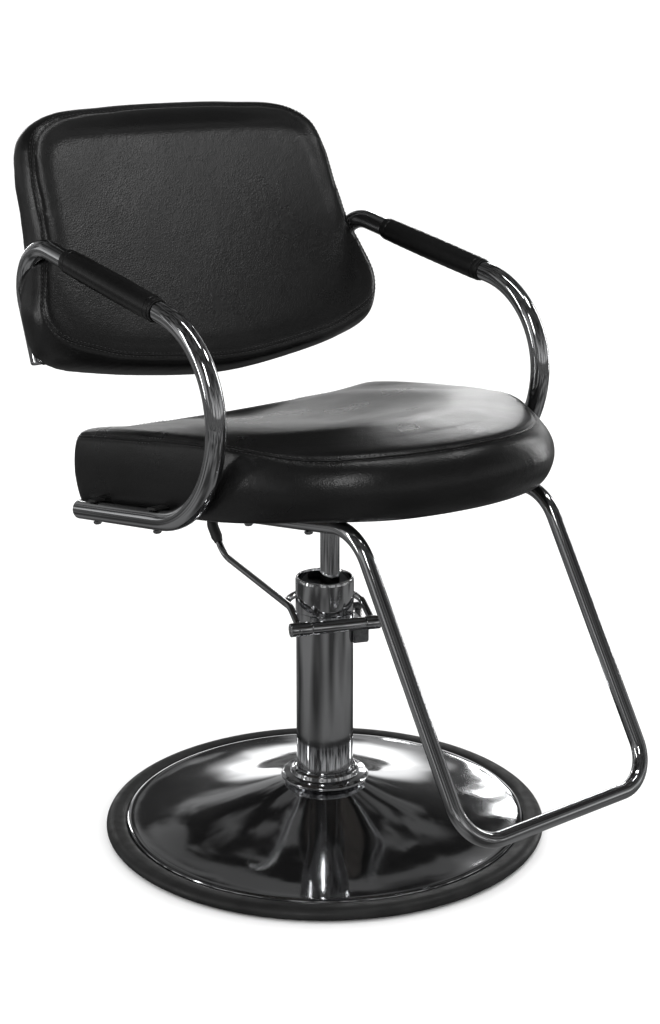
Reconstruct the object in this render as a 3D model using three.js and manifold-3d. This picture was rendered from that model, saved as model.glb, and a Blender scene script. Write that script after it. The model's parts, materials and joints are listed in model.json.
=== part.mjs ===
// Hydraulic salon styling chair: a round base with a pump column, a swivelling padded seat with a fixed
// backrest, bent tube arms and a U-shaped footrest. Millimetres, +Z up, origin on the floor at the centre
// of the base. The chair faces -Y, so +X is the sitter's left.
import * as THREE from "three";
import { mergeVertices } from "three/addons/utils/BufferGeometryUtils.js";
import Module from "manifold-3d";

const wasm = await Module();
wasm.setup();

// ---------------------------------------------------------------- driving dimensions
const GAP = 0.3; // kept between pieces that touch
const BOLT_R = 3; // all frame bolts are M6
const HEAD_R = 5.5;
const HEAD_T = 4;

// base
const BASE_R = 300;
const RIM_INNER_R = 272;
const RIM_H = 17;
const PLATE_R = 262;
const PLATE_T = 5;
const DISH_T = 2;
const DISH_TOP_R = 46;
const DISH_TOP_Z = 66;
const FLANGE_R = 62;
const FLANGE_T = 8;
const FLANGE_BOLT_PCD_R = 51;

// pump column
const COLUMN_R = 38.5;
const COLUMN_SIDES = 28;
const COLUMN_WALL = 3;
const COLUMN_TOP = 353;
const CYLINDER_R = 26;
const CYLINDER_BORE_R = 22;
const GLAND_BOTTOM = 317;
const GLAND_TOP = 333;
const RAM_R = 13;
const RAM_AT = new THREE.Vector2(5.4, -4.4); // the ram stands off the column's centre, beside the oil tank
const RAM_SHOULDER = 440;
const RAM_TOP = 465;
const STUB_R = 10;
const PISTON_BOTTOM = 30;

// pump lever, in a frame turned about the column: x along the pivot, y away behind the column
const LEVER_YAW = THREE.MathUtils.degToRad(-22);
const PIVOT_Y = -52;
const PIVOT_Z = 300;
const HUB_R = 9.2;
const PIN_R = 4;
const LEVER_R = 4.8;
const ARM_REACH = 50; // from the column's centre to each lever arm
const ARM_RISE = 17; // from the pivot to the arms beside the column
const GRIP_R = 8;
const BLOCK_TOP = 284;

// seat
const SEAT_TILT = THREE.MathUtils.degToRad(7.8);
const SEAT_Z = 491.5; // the board's top above the origin
const SEAT_W = 249; // half width at the nose, just inside the arm tubes
const SEAT_REAR_W = 260;
const SEAT_REAR = 200;
const SEAT_NOSE_Y = -72; // where the straight sides end and the round nose begins
const SEAT_NOSE = 250;
const SEAT_H = 86; // from the board's top to the cushion's
const SEAT_EDGE = 12;
const SEAT_BEND_Y = -110; // in front of this the seat's top curves down
const SEAT_DROP = 25; // by this much at its front edge
const BOARD_T = 13.5;
const BOARD_INSET = 22; // the cushion wraps round the board's edge
const FOOT_BOLT_YS = [-157, -35];
const ARM_BAR_YS = [3, 142];
const ARM_BAR_T = 3;
const ARM_BAR_W = 16;
const ARM_BAR_HALF = 271; // from the middle to each end
const SEAT_PLATE = { width: 170, depth: 226, thickness: 6, y: -65 };
const HUB_BOTTOM = 420;
const HUB_OUTER_R = 22;

// backrest: its rear face passes BACK_Y, BACK_Z and leans back
const BACK_TILT = THREE.MathUtils.degToRad(19);
const BACK_Y = 285;
const BACK_Z = 700;
const BACK_T = 54; // thickness halfway up
const BACK_TAPER = 0.127; // thinner towards the top, as a share for each 100 mm
const BACK_EDGE = 9;
const BACK_COVER_T = 3;
const BACK_COVER_INSET = 33; // the cover lies between the arm tubes
const BACK_BOARD_T = 10;
const BACK_BOARD_INSET = 6;
const BACK_MIDDLE_Z = 77; // the outline's insets shrink it towards this height
const BACK_TAPER_Z = 70; // where BACK_T is measured
const BACK_BOLT_ZS = [-26, 4];

// arms and footrest
const ARM_X = 265;
const ARM_R = 12.7;
const TUBE_WALL = 1.8;
const ARM_FRONT_Y = -128;
const ARMREST_SLOPE = 0.19;
const ARMREST_Z = 741.3; // the armrest line's height at y = 0
const SLEEVE_R = 15.8;
const SLEEVE_YS = [-15, 186];
const ARM_REAR_Y = 176; // where its lower run ends
const ARM_FOOT_Z = 636; // where its run behind the backrest ends
const ARM_RECESS = 11; // how far that run is let into the backrest
const PLUG_R = 9.6; // the end plugs' shanks
const FOOT_X = 154;
const FOOT_R = 9.5;
const FOOT_BAR = { y: -448, z: 169 };
const FOOT_LEAN = 0.6; // how far the legs run forward for each unit down

// ---------------------------------------------------------------- materials
const finish = (color, roughness, metalness) =>
  new THREE.MeshStandardMaterial({ color, roughness, metalness });
const chrome = () => finish(0xc8cacc, 0.08, 1);
const steel = () => finish(0x8a8c8e, 0.35, 1);
const zinc = () => finish(0xa8aaac, 0.3, 1);
const brass = () => finish(0xb08d57, 0.3, 1);
const vinyl = () => finish(0x141414, 0.45, 0);
const blackPaint = () => finish(0x0c0c0c, 0.4, 0.3);
const rubber = () => finish(0x101010, 0.75, 0);
const plywood = () => finish(0xb08a5a, 0.8, 0);

// ---------------------------------------------------------------- geometry helpers
// The same faces turned outward, whichever way round their geometry class laid them.
function facingOut(geometry) {
  const flat = geometry.index ? geometry.toNonIndexed() : geometry;
  const at = flat.attributes.position;
  const corners = [new THREE.Vector3(), new THREE.Vector3(), new THREE.Vector3()];
  const read = (i) => corners.forEach((point, k) => point.fromBufferAttribute(at, i + k));
  let volume = 0;
  for (let i = 0; i < at.count; i += 3) {
    read(i);
    volume += corners[0].dot(corners[1].cross(corners[2]));
  }
  if (volume > 0) return geometry;
  for (let i = 0; i < at.count; i += 3) {
    read(i);
    at.setXYZ(i + 1, ...corners[2]);
    at.setXYZ(i + 2, ...corners[1]);
  }
  flat.computeVertexNormals();
  return flat;
}

function manifoldOf(geometry) {
  const bare = facingOut(geometry).clone();
  bare.deleteAttribute("normal");
  bare.deleteAttribute("uv");
  const merged = mergeVertices(bare, 1e-3);
  return new wasm.Manifold(
    new wasm.Mesh({
      numProp: 3,
      vertProperties: merged.attributes.position.array,
      triVerts: new Uint32Array(merged.index.array),
    }),
  );
}

function geometryOf(solid) {
  const mesh = solid.getMesh();
  const geometry = new THREE.BufferGeometry();
  geometry.setAttribute("position", new THREE.BufferAttribute(mesh.vertProperties, 3));
  geometry.setIndex(new THREE.BufferAttribute(mesh.triVerts, 1));
  geometry.computeVertexNormals();
  return geometry;
}

const cut = (body, ...tools) =>
  geometryOf(tools.reduce((rest, tool) => rest.subtract(manifoldOf(tool)), manifoldOf(body)));

const join = (body, ...others) =>
  geometryOf(others.reduce((sum, other) => sum.add(manifoldOf(other)), manifoldOf(body)));

// A turned solid about Z from [radius, height] points, in either order.
function turned(points, sides = 20) {
  const area = points.reduce((sum, [r, z], i) => {
    const [nextR, nextZ] = points[(i + 1) % points.length];
    return sum + r * nextZ - nextR * z;
  }, 0);
  const ordered = area > 0 ? points : [...points].reverse();
  const onAxis = ordered[0][0] === 0 && ordered.at(-1)[0] === 0;
  const profile = (onAxis ? ordered : [...ordered, ordered[0]]).map(
    ([r, z]) => new THREE.Vector2(r, z),
  );
  return new THREE.LatheGeometry(profile, sides).rotateX(Math.PI / 2);
}

const disc = (r, z0, z1, sides) => turned([[0, z0], [r, z0], [r, z1], [0, z1]], sides);

const ring = (inner, outer, z0, z1, sides) =>
  turned([[inner, z0], [outer, z0], [outer, z1], [inner, z1]], sides);

// A bolt standing on Z: a rounded head below z = 0 and a shank above it.
const bolt = (shank, r = BOLT_R, headR = HEAD_R, headT = HEAD_T) =>
  turned(
    [[0, -headT], [headR * 0.7, -headT], [headR, -headT * 0.4], [headR, 0], [r, 0], [r, shank], [0, shank]],
    8,
  );

// A centre line of straight runs joined by round bends: corners are points with a bend radius.
class BentPath extends THREE.Curve {
  constructor(corners, stepsPerBend = 6) {
    super();
    this.stations = [];
    corners.forEach(({ at, radius }, i) => {
      if (!radius) {
        const along = (i ? at.clone().sub(corners[i - 1].at) : corners[1].at.clone().sub(at)).normalize();
        this.stations.push({ point: at, tangent: along });
        return;
      }
      const into = at.clone().sub(corners[i - 1].at).normalize();
      const away = corners[i + 1].at.clone().sub(at).normalize();
      const turn = into.angleTo(away);
      const start = at.clone().addScaledVector(into, -radius * Math.tan(turn / 2));
      const inward = away.clone().addScaledVector(into, -away.dot(into)).normalize();
      for (let step = 0; step <= stepsPerBend; step++) {
        const angle = (turn * step) / stepsPerBend;
        this.stations.push({
          point: start
            .clone()
            .addScaledVector(into, radius * Math.sin(angle))
            .addScaledVector(inward, radius * (1 - Math.cos(angle))),
          tangent: into
            .clone()
            .multiplyScalar(Math.cos(angle))
            .addScaledVector(inward, Math.sin(angle)),
        });
      }
    });
  }

  get steps() {
    return this.stations.length - 1;
  }

  getPointAt(u) {
    return this.stations[Math.round(u * this.steps)].point.clone();
  }

  getTangentAt(u) {
    return this.stations[Math.round(u * this.steps)].tangent.clone();
  }
}

const corner = (x, y, z, radius) => ({ at: new THREE.Vector3(x, y, z), radius });

// A round bar along a path, hollow where an inner radius is given.
function swept(path, radius, inner = 0, sides = 8) {
  const section = new THREE.Shape().absarc(0, 0, radius, 0, 2 * Math.PI);
  if (inner) section.holes.push(new THREE.Path().absarc(0, 0, inner, 0, 2 * Math.PI));
  return new THREE.ExtrudeGeometry(section, {
    steps: path.steps,
    extrudePath: path,
    curveSegments: sides / 2,
    bevelEnabled: false,
  });
}

const chair = new THREE.Group();

function add(name, geometry, material, parent = chair) {
  const mesh = new THREE.Mesh(facingOut(geometry), material);
  mesh.name = name;
  parent.add(mesh);
  return mesh;
}

// ---------------------------------------------------------------- base
function buildBase() {
  add("floor_plate", disc(PLATE_R, 0, PLATE_T, 40), steel());

  // The rim is flat underneath, round on its outer side and slopes in to meet the dish.
  const rimRound = 13;
  const rimSteps = 6;
  const rim = [[RIM_INNER_R, 0]];
  for (let i = 0; i <= rimSteps; i++) {
    const angle = Math.PI * (i / rimSteps - 0.5);
    rim.push([BASE_R - rimRound + rimRound * Math.cos(angle), (RIM_H / 2) * (1 + Math.sin(angle))]);
  }
  rim.push([RIM_INNER_R, RIM_H - 4]);
  add("rim_ring", turned(rim, 40), rubber());

  // The dish rises slowly from its lip and ever more steeply towards the column.
  const lipR = RIM_INNER_R - GAP;
  const dishSteps = 6;
  const upper = [];
  for (let i = 0; i <= dishSteps; i++) {
    const share = i / dishSteps;
    const r = THREE.MathUtils.lerp(lipR - 6, DISH_TOP_R, share);
    upper.push([r, RIM_H + (DISH_TOP_Z - RIM_H) * share ** 1.7]);
  }
  const lower = upper.map(([r, z]) => [r, z - DISH_T]).reverse();
  const outerLip = [[lipR, 6], [lipR, RIM_H - 2]];
  const innerLip = [[lipR - DISH_T, RIM_H - 4], [lipR - DISH_T, 6]];
  add("base_dish", turned([...outerLip, ...upper, ...lower, ...innerLip], 40), chrome());

  const collarBore = COLUMN_R + GAP;
  add(
    "column_collar",
    turned([
      [collarBore, DISH_TOP_Z + GAP],
      [56, DISH_TOP_Z + GAP],
      [60, DISH_TOP_Z + 2.5],
      [60, DISH_TOP_Z + 5],
      [56, DISH_TOP_Z + 8],
      [47, DISH_TOP_Z + 8.6],
      [45.5, DISH_TOP_Z + 14],
      [42, DISH_TOP_Z + 17],
      [collarBore, DISH_TOP_Z + 16],
    ], COLUMN_SIDES),
    chrome(),
  );
}

// ---------------------------------------------------------------- pump column
function buildPump() {
  const flangeBottom = PLATE_T + GAP;
  const flangeTop = flangeBottom + FLANGE_T;
  const boltAngles = [0, 1, 2].map((i) => (2 * Math.PI * i) / 3);
  const boltSpots = boltAngles.map((angle) => [
    FLANGE_BOLT_PCD_R * Math.cos(angle),
    FLANGE_BOLT_PCD_R * Math.sin(angle),
  ]);
  const holes = boltSpots.map((at) => disc(BOLT_R + GAP, -1, flangeTop + 1, 8).translate(...at, 0));
  add("pump_flange", cut(disc(FLANGE_R, flangeBottom, flangeTop), ...holes), steel());
  boltSpots.forEach((at, i) => {
    const mesh = add(`flange_bolt_${i + 1}`, bolt(FLANGE_T), zinc());
    mesh.rotation.x = Math.PI;
    mesh.position.set(...at, flangeTop + GAP);
  });

  const lip = 1.2;
  add(
    "pump_casing",
    turned(
      [
        [COLUMN_R - COLUMN_WALL, flangeTop + GAP],
        [COLUMN_R, flangeTop + GAP],
        [COLUMN_R, PIVOT_Z + 8],
        [COLUMN_R + 0.5, PIVOT_Z + 9],
        [COLUMN_R + 0.5, COLUMN_TOP - lip],
        [COLUMN_R - 0.5, COLUMN_TOP],
        [COLUMN_R - COLUMN_WALL + 1, COLUMN_TOP],
        [COLUMN_R - COLUMN_WALL, COLUMN_TOP - lip],
      ],
      COLUMN_SIDES,
    ),
    chrome(),
  );
  const cylinder = add(
    "pump_cylinder",
    ring(CYLINDER_BORE_R, CYLINDER_R, flangeTop + GAP, GLAND_BOTTOM - GAP, 24),
    steel(),
  );
  cylinder.position.set(RAM_AT.x, RAM_AT.y, 0);
  add(
    "ram_gland",
    cut(
      disc(COLUMN_R - COLUMN_WALL - GAP, GLAND_BOTTOM, GLAND_TOP),
      disc(RAM_R + GAP, GLAND_BOTTOM - 1, GLAND_TOP + 1, 20).translate(RAM_AT.x, RAM_AT.y, 0),
    ),
    steel(),
  );
  const seal = add(
    "ram_wiper_seal",
    turned(
      [
        [RAM_R + 0.2, GLAND_TOP + GAP],
        [20, GLAND_TOP + GAP],
        [20, GLAND_TOP + 4],
        [15, GLAND_TOP + 7],
        [RAM_R + 0.2, GLAND_TOP + 7],
      ],
      24,
    ),
    rubber(),
  );
  seal.position.set(RAM_AT.x, RAM_AT.y, 0);
}

// ---------------------------------------------------------------- ram
function buildRam() {
  const lift = new THREE.Group();
  lift.position.set(RAM_AT.x, RAM_AT.y, 0);
  chair.add(lift);
  const neck = PISTON_BOTTOM + 3;
  add(
    "ram",
    turned(
      [
        [0, PISTON_BOTTOM],
        [STUB_R, PISTON_BOTTOM],
        [STUB_R, neck + 15],
        [RAM_R, neck + 15],
        [RAM_R, RAM_SHOULDER],
        [STUB_R, RAM_SHOULDER],
        [STUB_R, RAM_TOP - 2],
        [STUB_R - 2, RAM_TOP],
        [0, RAM_TOP],
      ],
      24,
    ),
    chrome(),
    lift,
  );
  add("ram_piston", ring(STUB_R + GAP, CYLINDER_BORE_R - 0.4, neck, neck + 15 - GAP, 20), brass(), lift);
  add("swivel_bush", ring(STUB_R + GAP, RAM_R, RAM_SHOULDER + GAP, RAM_TOP - 3, 20), brass(), lift);
}

// ---------------------------------------------------------------- lever and plunger
function buildLever() {
  const frame = new THREE.Group();
  frame.rotation.z = LEVER_YAW;
  chair.add(frame);

  const acrossPivot = (geometry) => geometry.rotateY(Math.PI / 2).translate(0, PIVOT_Y, PIVOT_Z);
  const columnCut = disc(COLUMN_R + 0.5 + GAP, 200, 400, 40);

  // The bracket is a bar across the front of the column with a web back to it.
  const bracketBar = acrossPivot(disc(8.6, -34, 40, 20));
  const web = new THREE.BoxGeometry(64, 20, 15).translate(3, PIVOT_Y + 10, PIVOT_Z);
  const pinHole = acrossPivot(disc(PIN_R + GAP, -80, 80, 16));
  add("pivot_bracket", cut(join(bracketBar, web), columnCut, pinHole), chrome(), frame);

  const pin = turned(
    [[0, -62], [PIN_R, -62], [PIN_R, 60.3], [6.4, 60.3], [6.4, 63], [4.5, 65.5], [0, 65.5]],
    16,
  );
  add("pivot_pin", acrossPivot(pin), zinc(), frame);

  // Each lever arm climbs from its hub to pass beside the column.
  const hub = (from, to) => acrossPivot(disc(HUB_R, from, to, 20));
  const armStart = PIVOT_Y + 4;
  const besideZ = PIVOT_Z + ARM_RISE;
  const rodPath = new BentPath([
    corner(-ARM_REACH, armStart, PIVOT_Z + 3),
    corner(-ARM_REACH, -8, besideZ, 40),
    corner(-88, 204, besideZ + 14, 60),
    corner(-96, 247, besideZ + 53, 22),
    corner(-76, 255, besideZ + 76),
  ]);
  const gripPath = new BentPath([
    corner(-91.4, 222.3, besideZ + 30.6),
    corner(-96, 247, besideZ + 53, 22),
    corner(-73, 256.2, besideZ + 79.4),
  ]);
  const rod = swept(rodPath, LEVER_R);
  const screwX = -52;
  const screwSeat = disc(2.6, -1.6, 6, 10).rotateX(-Math.PI / 2).translate(screwX, PIVOT_Y - HUB_R, PIVOT_Z);
  add("lever_rod", cut(join(hub(-63, -34 - GAP), rod), pinHole, screwSeat), chrome(), frame);
  const screw = turned([[0, -1.4], [1.4, -1.4], [2.3, -0.8], [2.3, 3], [0, 3]], 10).rotateX(-Math.PI / 2);
  add("lever_set_screw", screw, zinc(), frame).position.set(screwX, PIVOT_Y - HUB_R, PIVOT_Z);
  const rodClearance = swept(rodPath, LEVER_R + GAP);
  add("lever_grip", cut(swept(gripPath, GRIP_R), rodClearance), rubber(), frame);

  // The yoke's right arm goes round behind the column to meet the rod.
  const loopSteps = 8;
  const loopAngle = THREE.MathUtils.degToRad(165);
  const loop = [];
  for (let i = 1; i <= loopSteps; i++) {
    const angle = (loopAngle * i) / loopSteps;
    loop.push(corner(ARM_REACH * Math.cos(angle), ARM_REACH * Math.sin(angle), besideZ));
  }
  const yokePath = new BentPath([
    corner(ARM_REACH, armStart, PIVOT_Z + 3),
    corner(ARM_REACH, -8, besideZ, 40),
    ...loop,
  ]);
  const yoke = join(hub(40 + GAP, 60), swept(yokePath, LEVER_R));
  add("lever_yoke", cut(yoke, pinHole, rodClearance), chrome(), frame);

  // The block beside the column guides the plunger that the right arm presses.
  const plungerX = ARM_REACH - 3;
  const plungerY = 2;
  const plungerHole = disc(4 + GAP, 200, 400, 16).translate(plungerX, plungerY, 0);
  const block = new THREE.BoxGeometry(28, 40, 22).translate(41, -4, BLOCK_TOP - 11);
  add("pump_block", cut(block, columnCut, plungerHole), steel(), frame);
  const crown = besideZ - LEVER_R - 1;
  const plunger = turned(
    [
      [0, BLOCK_TOP - 19],
      [4, BLOCK_TOP - 19],
      [4, crown - 7],
      [7.5, crown - 7],
      [7.5, crown - 4],
      [5.5, crown - 1],
      [0, crown],
    ],
    16,
  ).translate(plungerX, plungerY, 0);
  add("pump_plunger", plunger, zinc(), frame);
  add("plunger_spring", coilSpring(5.6, 0.7, BLOCK_TOP + 0.8, crown - 7.8, 4), steel(), frame).position.set(
    plungerX,
    plungerY,
    0,
  );
}

// A round wire wound about Z between two heights of its centre line.
function coilSpring(radius, wire, bottom, top, turns) {
  class Coil extends THREE.Curve {
    getPoint(t) {
      const angle = 2 * Math.PI * turns * t;
      return new THREE.Vector3(
        radius * Math.cos(angle),
        radius * Math.sin(angle),
        THREE.MathUtils.lerp(bottom, top, t),
      );
    }
  }
  const section = new THREE.Shape().absarc(0, 0, wire, 0, 2 * Math.PI);
  return new THREE.ExtrudeGeometry(section, {
    steps: turns * 8,
    extrudePath: new Coil(),
    curveSegments: 2,
    bevelEnabled: false,
  });
}

// ---------------------------------------------------------------- seat
const seatFrame = new THREE.Group();
seatFrame.position.set(0, 0, SEAT_Z);
seatFrame.rotation.x = -SEAT_TILT;
chair.add(seatFrame);
seatFrame.updateMatrixWorld(true);

const backFrame = new THREE.Group();
backFrame.position.set(0, BACK_Y, BACK_Z);
backFrame.rotation.x = -BACK_TILT;
chair.add(backFrame);
backFrame.updateMatrixWorld(true);

// A half-ellipse nose, sides that spread a little towards the rear, and a straight rear edge.
function seatOutline(inset) {
  const half = SEAT_W - inset;
  const rearHalf = SEAT_REAR_W - inset;
  const rear = SEAT_REAR - inset;
  const rearCorner = 14;
  const outline = new THREE.Shape();
  outline.absellipse(0, SEAT_NOSE_Y, half, SEAT_NOSE - inset, Math.PI, 2 * Math.PI);
  outline.lineTo(rearHalf, rear - rearCorner);
  outline.absarc(rearHalf - rearCorner, rear - rearCorner, rearCorner, 0, Math.PI / 2);
  outline.lineTo(rearCorner - rearHalf, rear);
  outline.absarc(rearCorner - rearHalf, rear - rearCorner, rearCorner, Math.PI / 2, Math.PI);
  return outline;
}

// How far the seat's top has curved down at y.
const seatDrop = (y) => {
  const noseY = SEAT_NOSE_Y - SEAT_NOSE;
  return SEAT_DROP * Math.max(0, (y - SEAT_BEND_Y) / (noseY - SEAT_BEND_Y)) ** 1.4;
};

// Moves each vertex of a geometry by a rule, after splitting edges longer than step.
const reshape = (geometry, step, rule) =>
  geometryOf(manifoldOf(geometry).refineToLength(step).warp(rule));

// The slab over an outline between two heights, its edges rounded by edge.
function slab(outline, z0, z1, edge = 0, curveSegments = 10) {
  const geometry = new THREE.ExtrudeGeometry(outline, {
    depth: z1 - z0 - 2 * edge,
    bevelEnabled: edge > 0,
    bevelThickness: edge,
    bevelSize: edge,
    bevelOffset: -edge,
    bevelSegments: 2,
    curveSegments,
  });
  return geometry.translate(0, 0, z0 + edge);
}

const boltSpots = (ys, halfX) => ys.flatMap((y) => [[-halfX, y], [halfX, y]]);
const seatPlateBolts = boltSpots(FOOT_BOLT_YS, 70);
const footrestBolts = boltSpots(FOOT_BOLT_YS, FOOT_X);
const armBolts = boltSpots(ARM_BAR_YS, ARM_X);
const SCREW_TOP = -2; // the bolts from below stop inside the board

// A flat bar across the top of the board, or the slot for it where it is grown by a clearance.
const armBar = (y, grow = 0) =>
  new THREE.BoxGeometry(
    2 * (ARM_BAR_HALF + grow),
    ARM_BAR_W + 2 * grow,
    ARM_BAR_T + 2 * grow,
  ).translate(0, y, ARM_BAR_T / 2);

// The hole for a bolt that rises from below the seat to a given height.
const holeTo = (top, [x, y]) => disc(BOLT_R + GAP, -60, top + GAP, 8).translate(x, y, 0);

function buildSeat() {
  const rooms = armRooms(seatFrame);
  const boardHoles = [...seatPlateBolts, ...footrestBolts].map((at) => holeTo(SCREW_TOP, at));
  const board = slab(seatOutline(BOARD_INSET), -BOARD_T, -GAP);
  add("seat_board", cut(board, ...boardHoles, ...rooms), plywood(), seatFrame);

  const pocket = slab(seatOutline(BOARD_INSET - GAP), -40, 0);
  const shell = reshape(slab(seatOutline(0), -BOARD_T, SEAT_H, SEAT_EDGE), 60, (at) => {
    at[2] -= (seatDrop(at[1]) * (at[2] + BOARD_T)) / (SEAT_H + BOARD_T);
  });
  const barSlots = ARM_BAR_YS.map((y) => armBar(y, GAP));
  add("seat_cushion", cut(shell, pocket, ...barSlots, ...rooms), vinyl(), seatFrame);

  // Flat bars across the board carry the arm tubes just outside the cushion.
  ["front", "rear"].forEach((where, i) => {
    const y = ARM_BAR_YS[i];
    const holes = armBolts.filter((at) => at[1] === y).map((at) => holeTo(ARM_BAR_T, at));
    add(`arm_bar_${where}`, cut(armBar(y), ...holes), blackPaint(), seatFrame);
  });

  const plateTop = -BOARD_T - GAP;
  const plateBottom = plateTop - SEAT_PLATE.thickness;
  const plate = new THREE.BoxGeometry(
    SEAT_PLATE.width,
    SEAT_PLATE.depth,
    SEAT_PLATE.thickness,
  ).translate(0, SEAT_PLATE.y, (plateTop + plateBottom) / 2);
  const plateHoles = seatPlateBolts.map((at) => holeTo(SCREW_TOP, at));
  add("seat_plate", cut(plate, ...plateHoles), steel(), seatFrame);
  const head = plateBottom - GAP;
  seatPlateBolts.forEach(([x, y], i) => {
    add(`seat_plate_bolt_${i + 1}`, bolt(SCREW_TOP - head), zinc(), seatFrame).position.set(x, y, head);
  });

  // The hub stands upright, cut off to the plate's slope.
  const hub = ring(RAM_R + GAP, HUB_OUTER_R, HUB_BOTTOM, SEAT_Z, 28).translate(RAM_AT.x, RAM_AT.y, 0);
  const abovePlate = new THREE.BoxGeometry(400, 400, 200)
    .translate(0, 0, head + 100)
    .applyMatrix4(seatFrame.matrixWorld);
  add("seat_hub", cut(hub, abovePlate), chrome());
}

// The height of a line parallel to the board, a given depth below its top.
const belowSeat = (y, depth) => SEAT_Z - depth / Math.cos(SEAT_TILT) - y * Math.tan(SEAT_TILT);

// ---------------------------------------------------------------- footrest
function buildFootrest() {
  const depth = BOARD_T + GAP + FOOT_R;
  const tan = Math.tan(SEAT_TILT);
  const kneeZ =
    (belowSeat(FOOT_BAR.y, depth) + FOOT_LEAN * FOOT_BAR.z * tan) / (1 + FOOT_LEAN * tan);
  const kneeY = FOOT_BAR.y + FOOT_LEAN * (kneeZ - FOOT_BAR.z);
  const rearY = -8;
  const side = (sign) => [
    corner(sign * FOOT_X, rearY, belowSeat(rearY, depth)),
    corner(sign * FOOT_X, kneeY, kneeZ, 62),
    corner(sign * FOOT_X, FOOT_BAR.y, FOOT_BAR.z, 52),
  ];
  const path = new BentPath([...side(-1), ...side(1).reverse()]);
  const holes = footrestBolts.map((at) => holeTo(SCREW_TOP, at).applyMatrix4(seatFrame.matrixWorld));
  add("footrest_tube", cut(swept(path, FOOT_R, FOOT_R - TUBE_WALL), ...holes), chrome());
  const head = -depth - FOOT_R - GAP;
  footrestBolts.forEach(([x, y], i) => {
    add(`footrest_bolt_${i + 1}`, bolt(SCREW_TOP - head), zinc(), seatFrame).position.set(x, y, head);
  });
}

// ---------------------------------------------------------------- arms
const backBolts = BACK_BOLT_ZS.flatMap((z) => [-ARM_X + 5, ARM_X - 5].map((x) => [x, z]));

const armrestAt = (x, y) => new THREE.Vector3(x, y, ARMREST_Z + ARMREST_SLOPE * y);

// From the rear under the seat's edge, forward, up and over, back along the armrest and down behind the back.
// Both ends run on by extra.
function armPath(x, extra = 0) {
  const depth = ARM_R + GAP;
  const lean = Math.tan(BACK_TILT);
  const offset = (ARM_R + GAP) / Math.cos(BACK_TILT) - ARM_RECESS;
  const behindBack = BACK_Y + offset - lean * BACK_Z; // y at z = 0
  const topZ = (ARMREST_Z + ARMREST_SLOPE * behindBack) / (1 - ARMREST_SLOPE * lean);
  const rearY = ARM_REAR_Y + extra;
  const footZ = ARM_FOOT_Z - extra;
  return new BentPath([
    corner(x, rearY, belowSeat(rearY, depth)),
    corner(x, ARM_FRONT_Y, belowSeat(ARM_FRONT_Y, depth), 138),
    corner(x, ARM_FRONT_Y, armrestAt(x, ARM_FRONT_Y).z, 122),
    corner(x, behindBack + lean * topZ, topZ, 57),
    corner(x, behindBack + lean * footZ, footZ),
  ]);
}

// What a tube and its end caps take out of the upholstery beside them, in the frame of a group.
function armRooms(group) {
  const toGroup = group.matrixWorld.clone().invert();
  return [-ARM_X, ARM_X].map((x) => swept(armPath(x, 6), ARM_R + 2 * GAP, 0, 12).applyMatrix4(toGroup));
}

function buildArm(side, sign) {
  const x = sign * ARM_X;
  const path = armPath(x);
  const seatHoles = armBolts.map((at) => holeTo(ARM_BAR_T, at).applyMatrix4(seatFrame.matrixWorld));
  const backHoles = backBolts.map(([bx, bz]) => backHole(bx, bz).applyMatrix4(backFrame.matrixWorld));
  const tube = swept(path, ARM_R, ARM_R - TUBE_WALL);
  add(`arm_tube_${side}`, cut(tube, ...seatHoles, ...backHoles), chrome());

  const head = -2 * ARM_R - 2 * GAP;
  ARM_BAR_YS.forEach((y, i) => {
    const mesh = add(`arm_bolt_${side}_${i + 1}`, bolt(ARM_BAR_T - head - GAP), zinc(), seatFrame);
    mesh.position.set(x, y, head);
  });

  // Domed plugs close both open ends.
  const plug = () =>
    turned([[0, -8], [PLUG_R, -8], [PLUG_R, GAP], [ARM_R, GAP], [ARM_R - 1, 3], [0, 4.5]], 12);
  const up = new THREE.Vector3(0, 0, 1);
  [["seat", 0], ["back", path.steps]].forEach(([where, station]) => {
    const { point, tangent } = path.stations[station];
    const outward = tangent.clone().multiplyScalar(station ? 1 : -1);
    const mesh = add(`arm_cap_${where}_${side}`, plug(), chrome());
    mesh.position.copy(point);
    mesh.quaternion.setFromUnitVectors(up, outward);
  });

  // The padded sleeve has a stepped band at each end.
  const [frontEnd, rearEnd] = SLEEVE_YS.map((y) => armrestAt(x, y));
  const length = frontEnd.distanceTo(rearEnd);
  const bore = ARM_R + GAP;
  const half = [[bore, 0], [14.2, 0], [14.2, 4], [15.4, 4.5], [15.4, 10], [SLEEVE_R, 11]];
  const mirrored = half.map(([r, z]) => [r, length - z]).reverse();
  const sleeve = add(`arm_sleeve_${side}`, turned([...half, ...mirrored], 16), vinyl());
  sleeve.position.copy(frontEnd);
  sleeve.quaternion.setFromUnitVectors(up, rearEnd.clone().sub(frontEnd).normalize());
}

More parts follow.
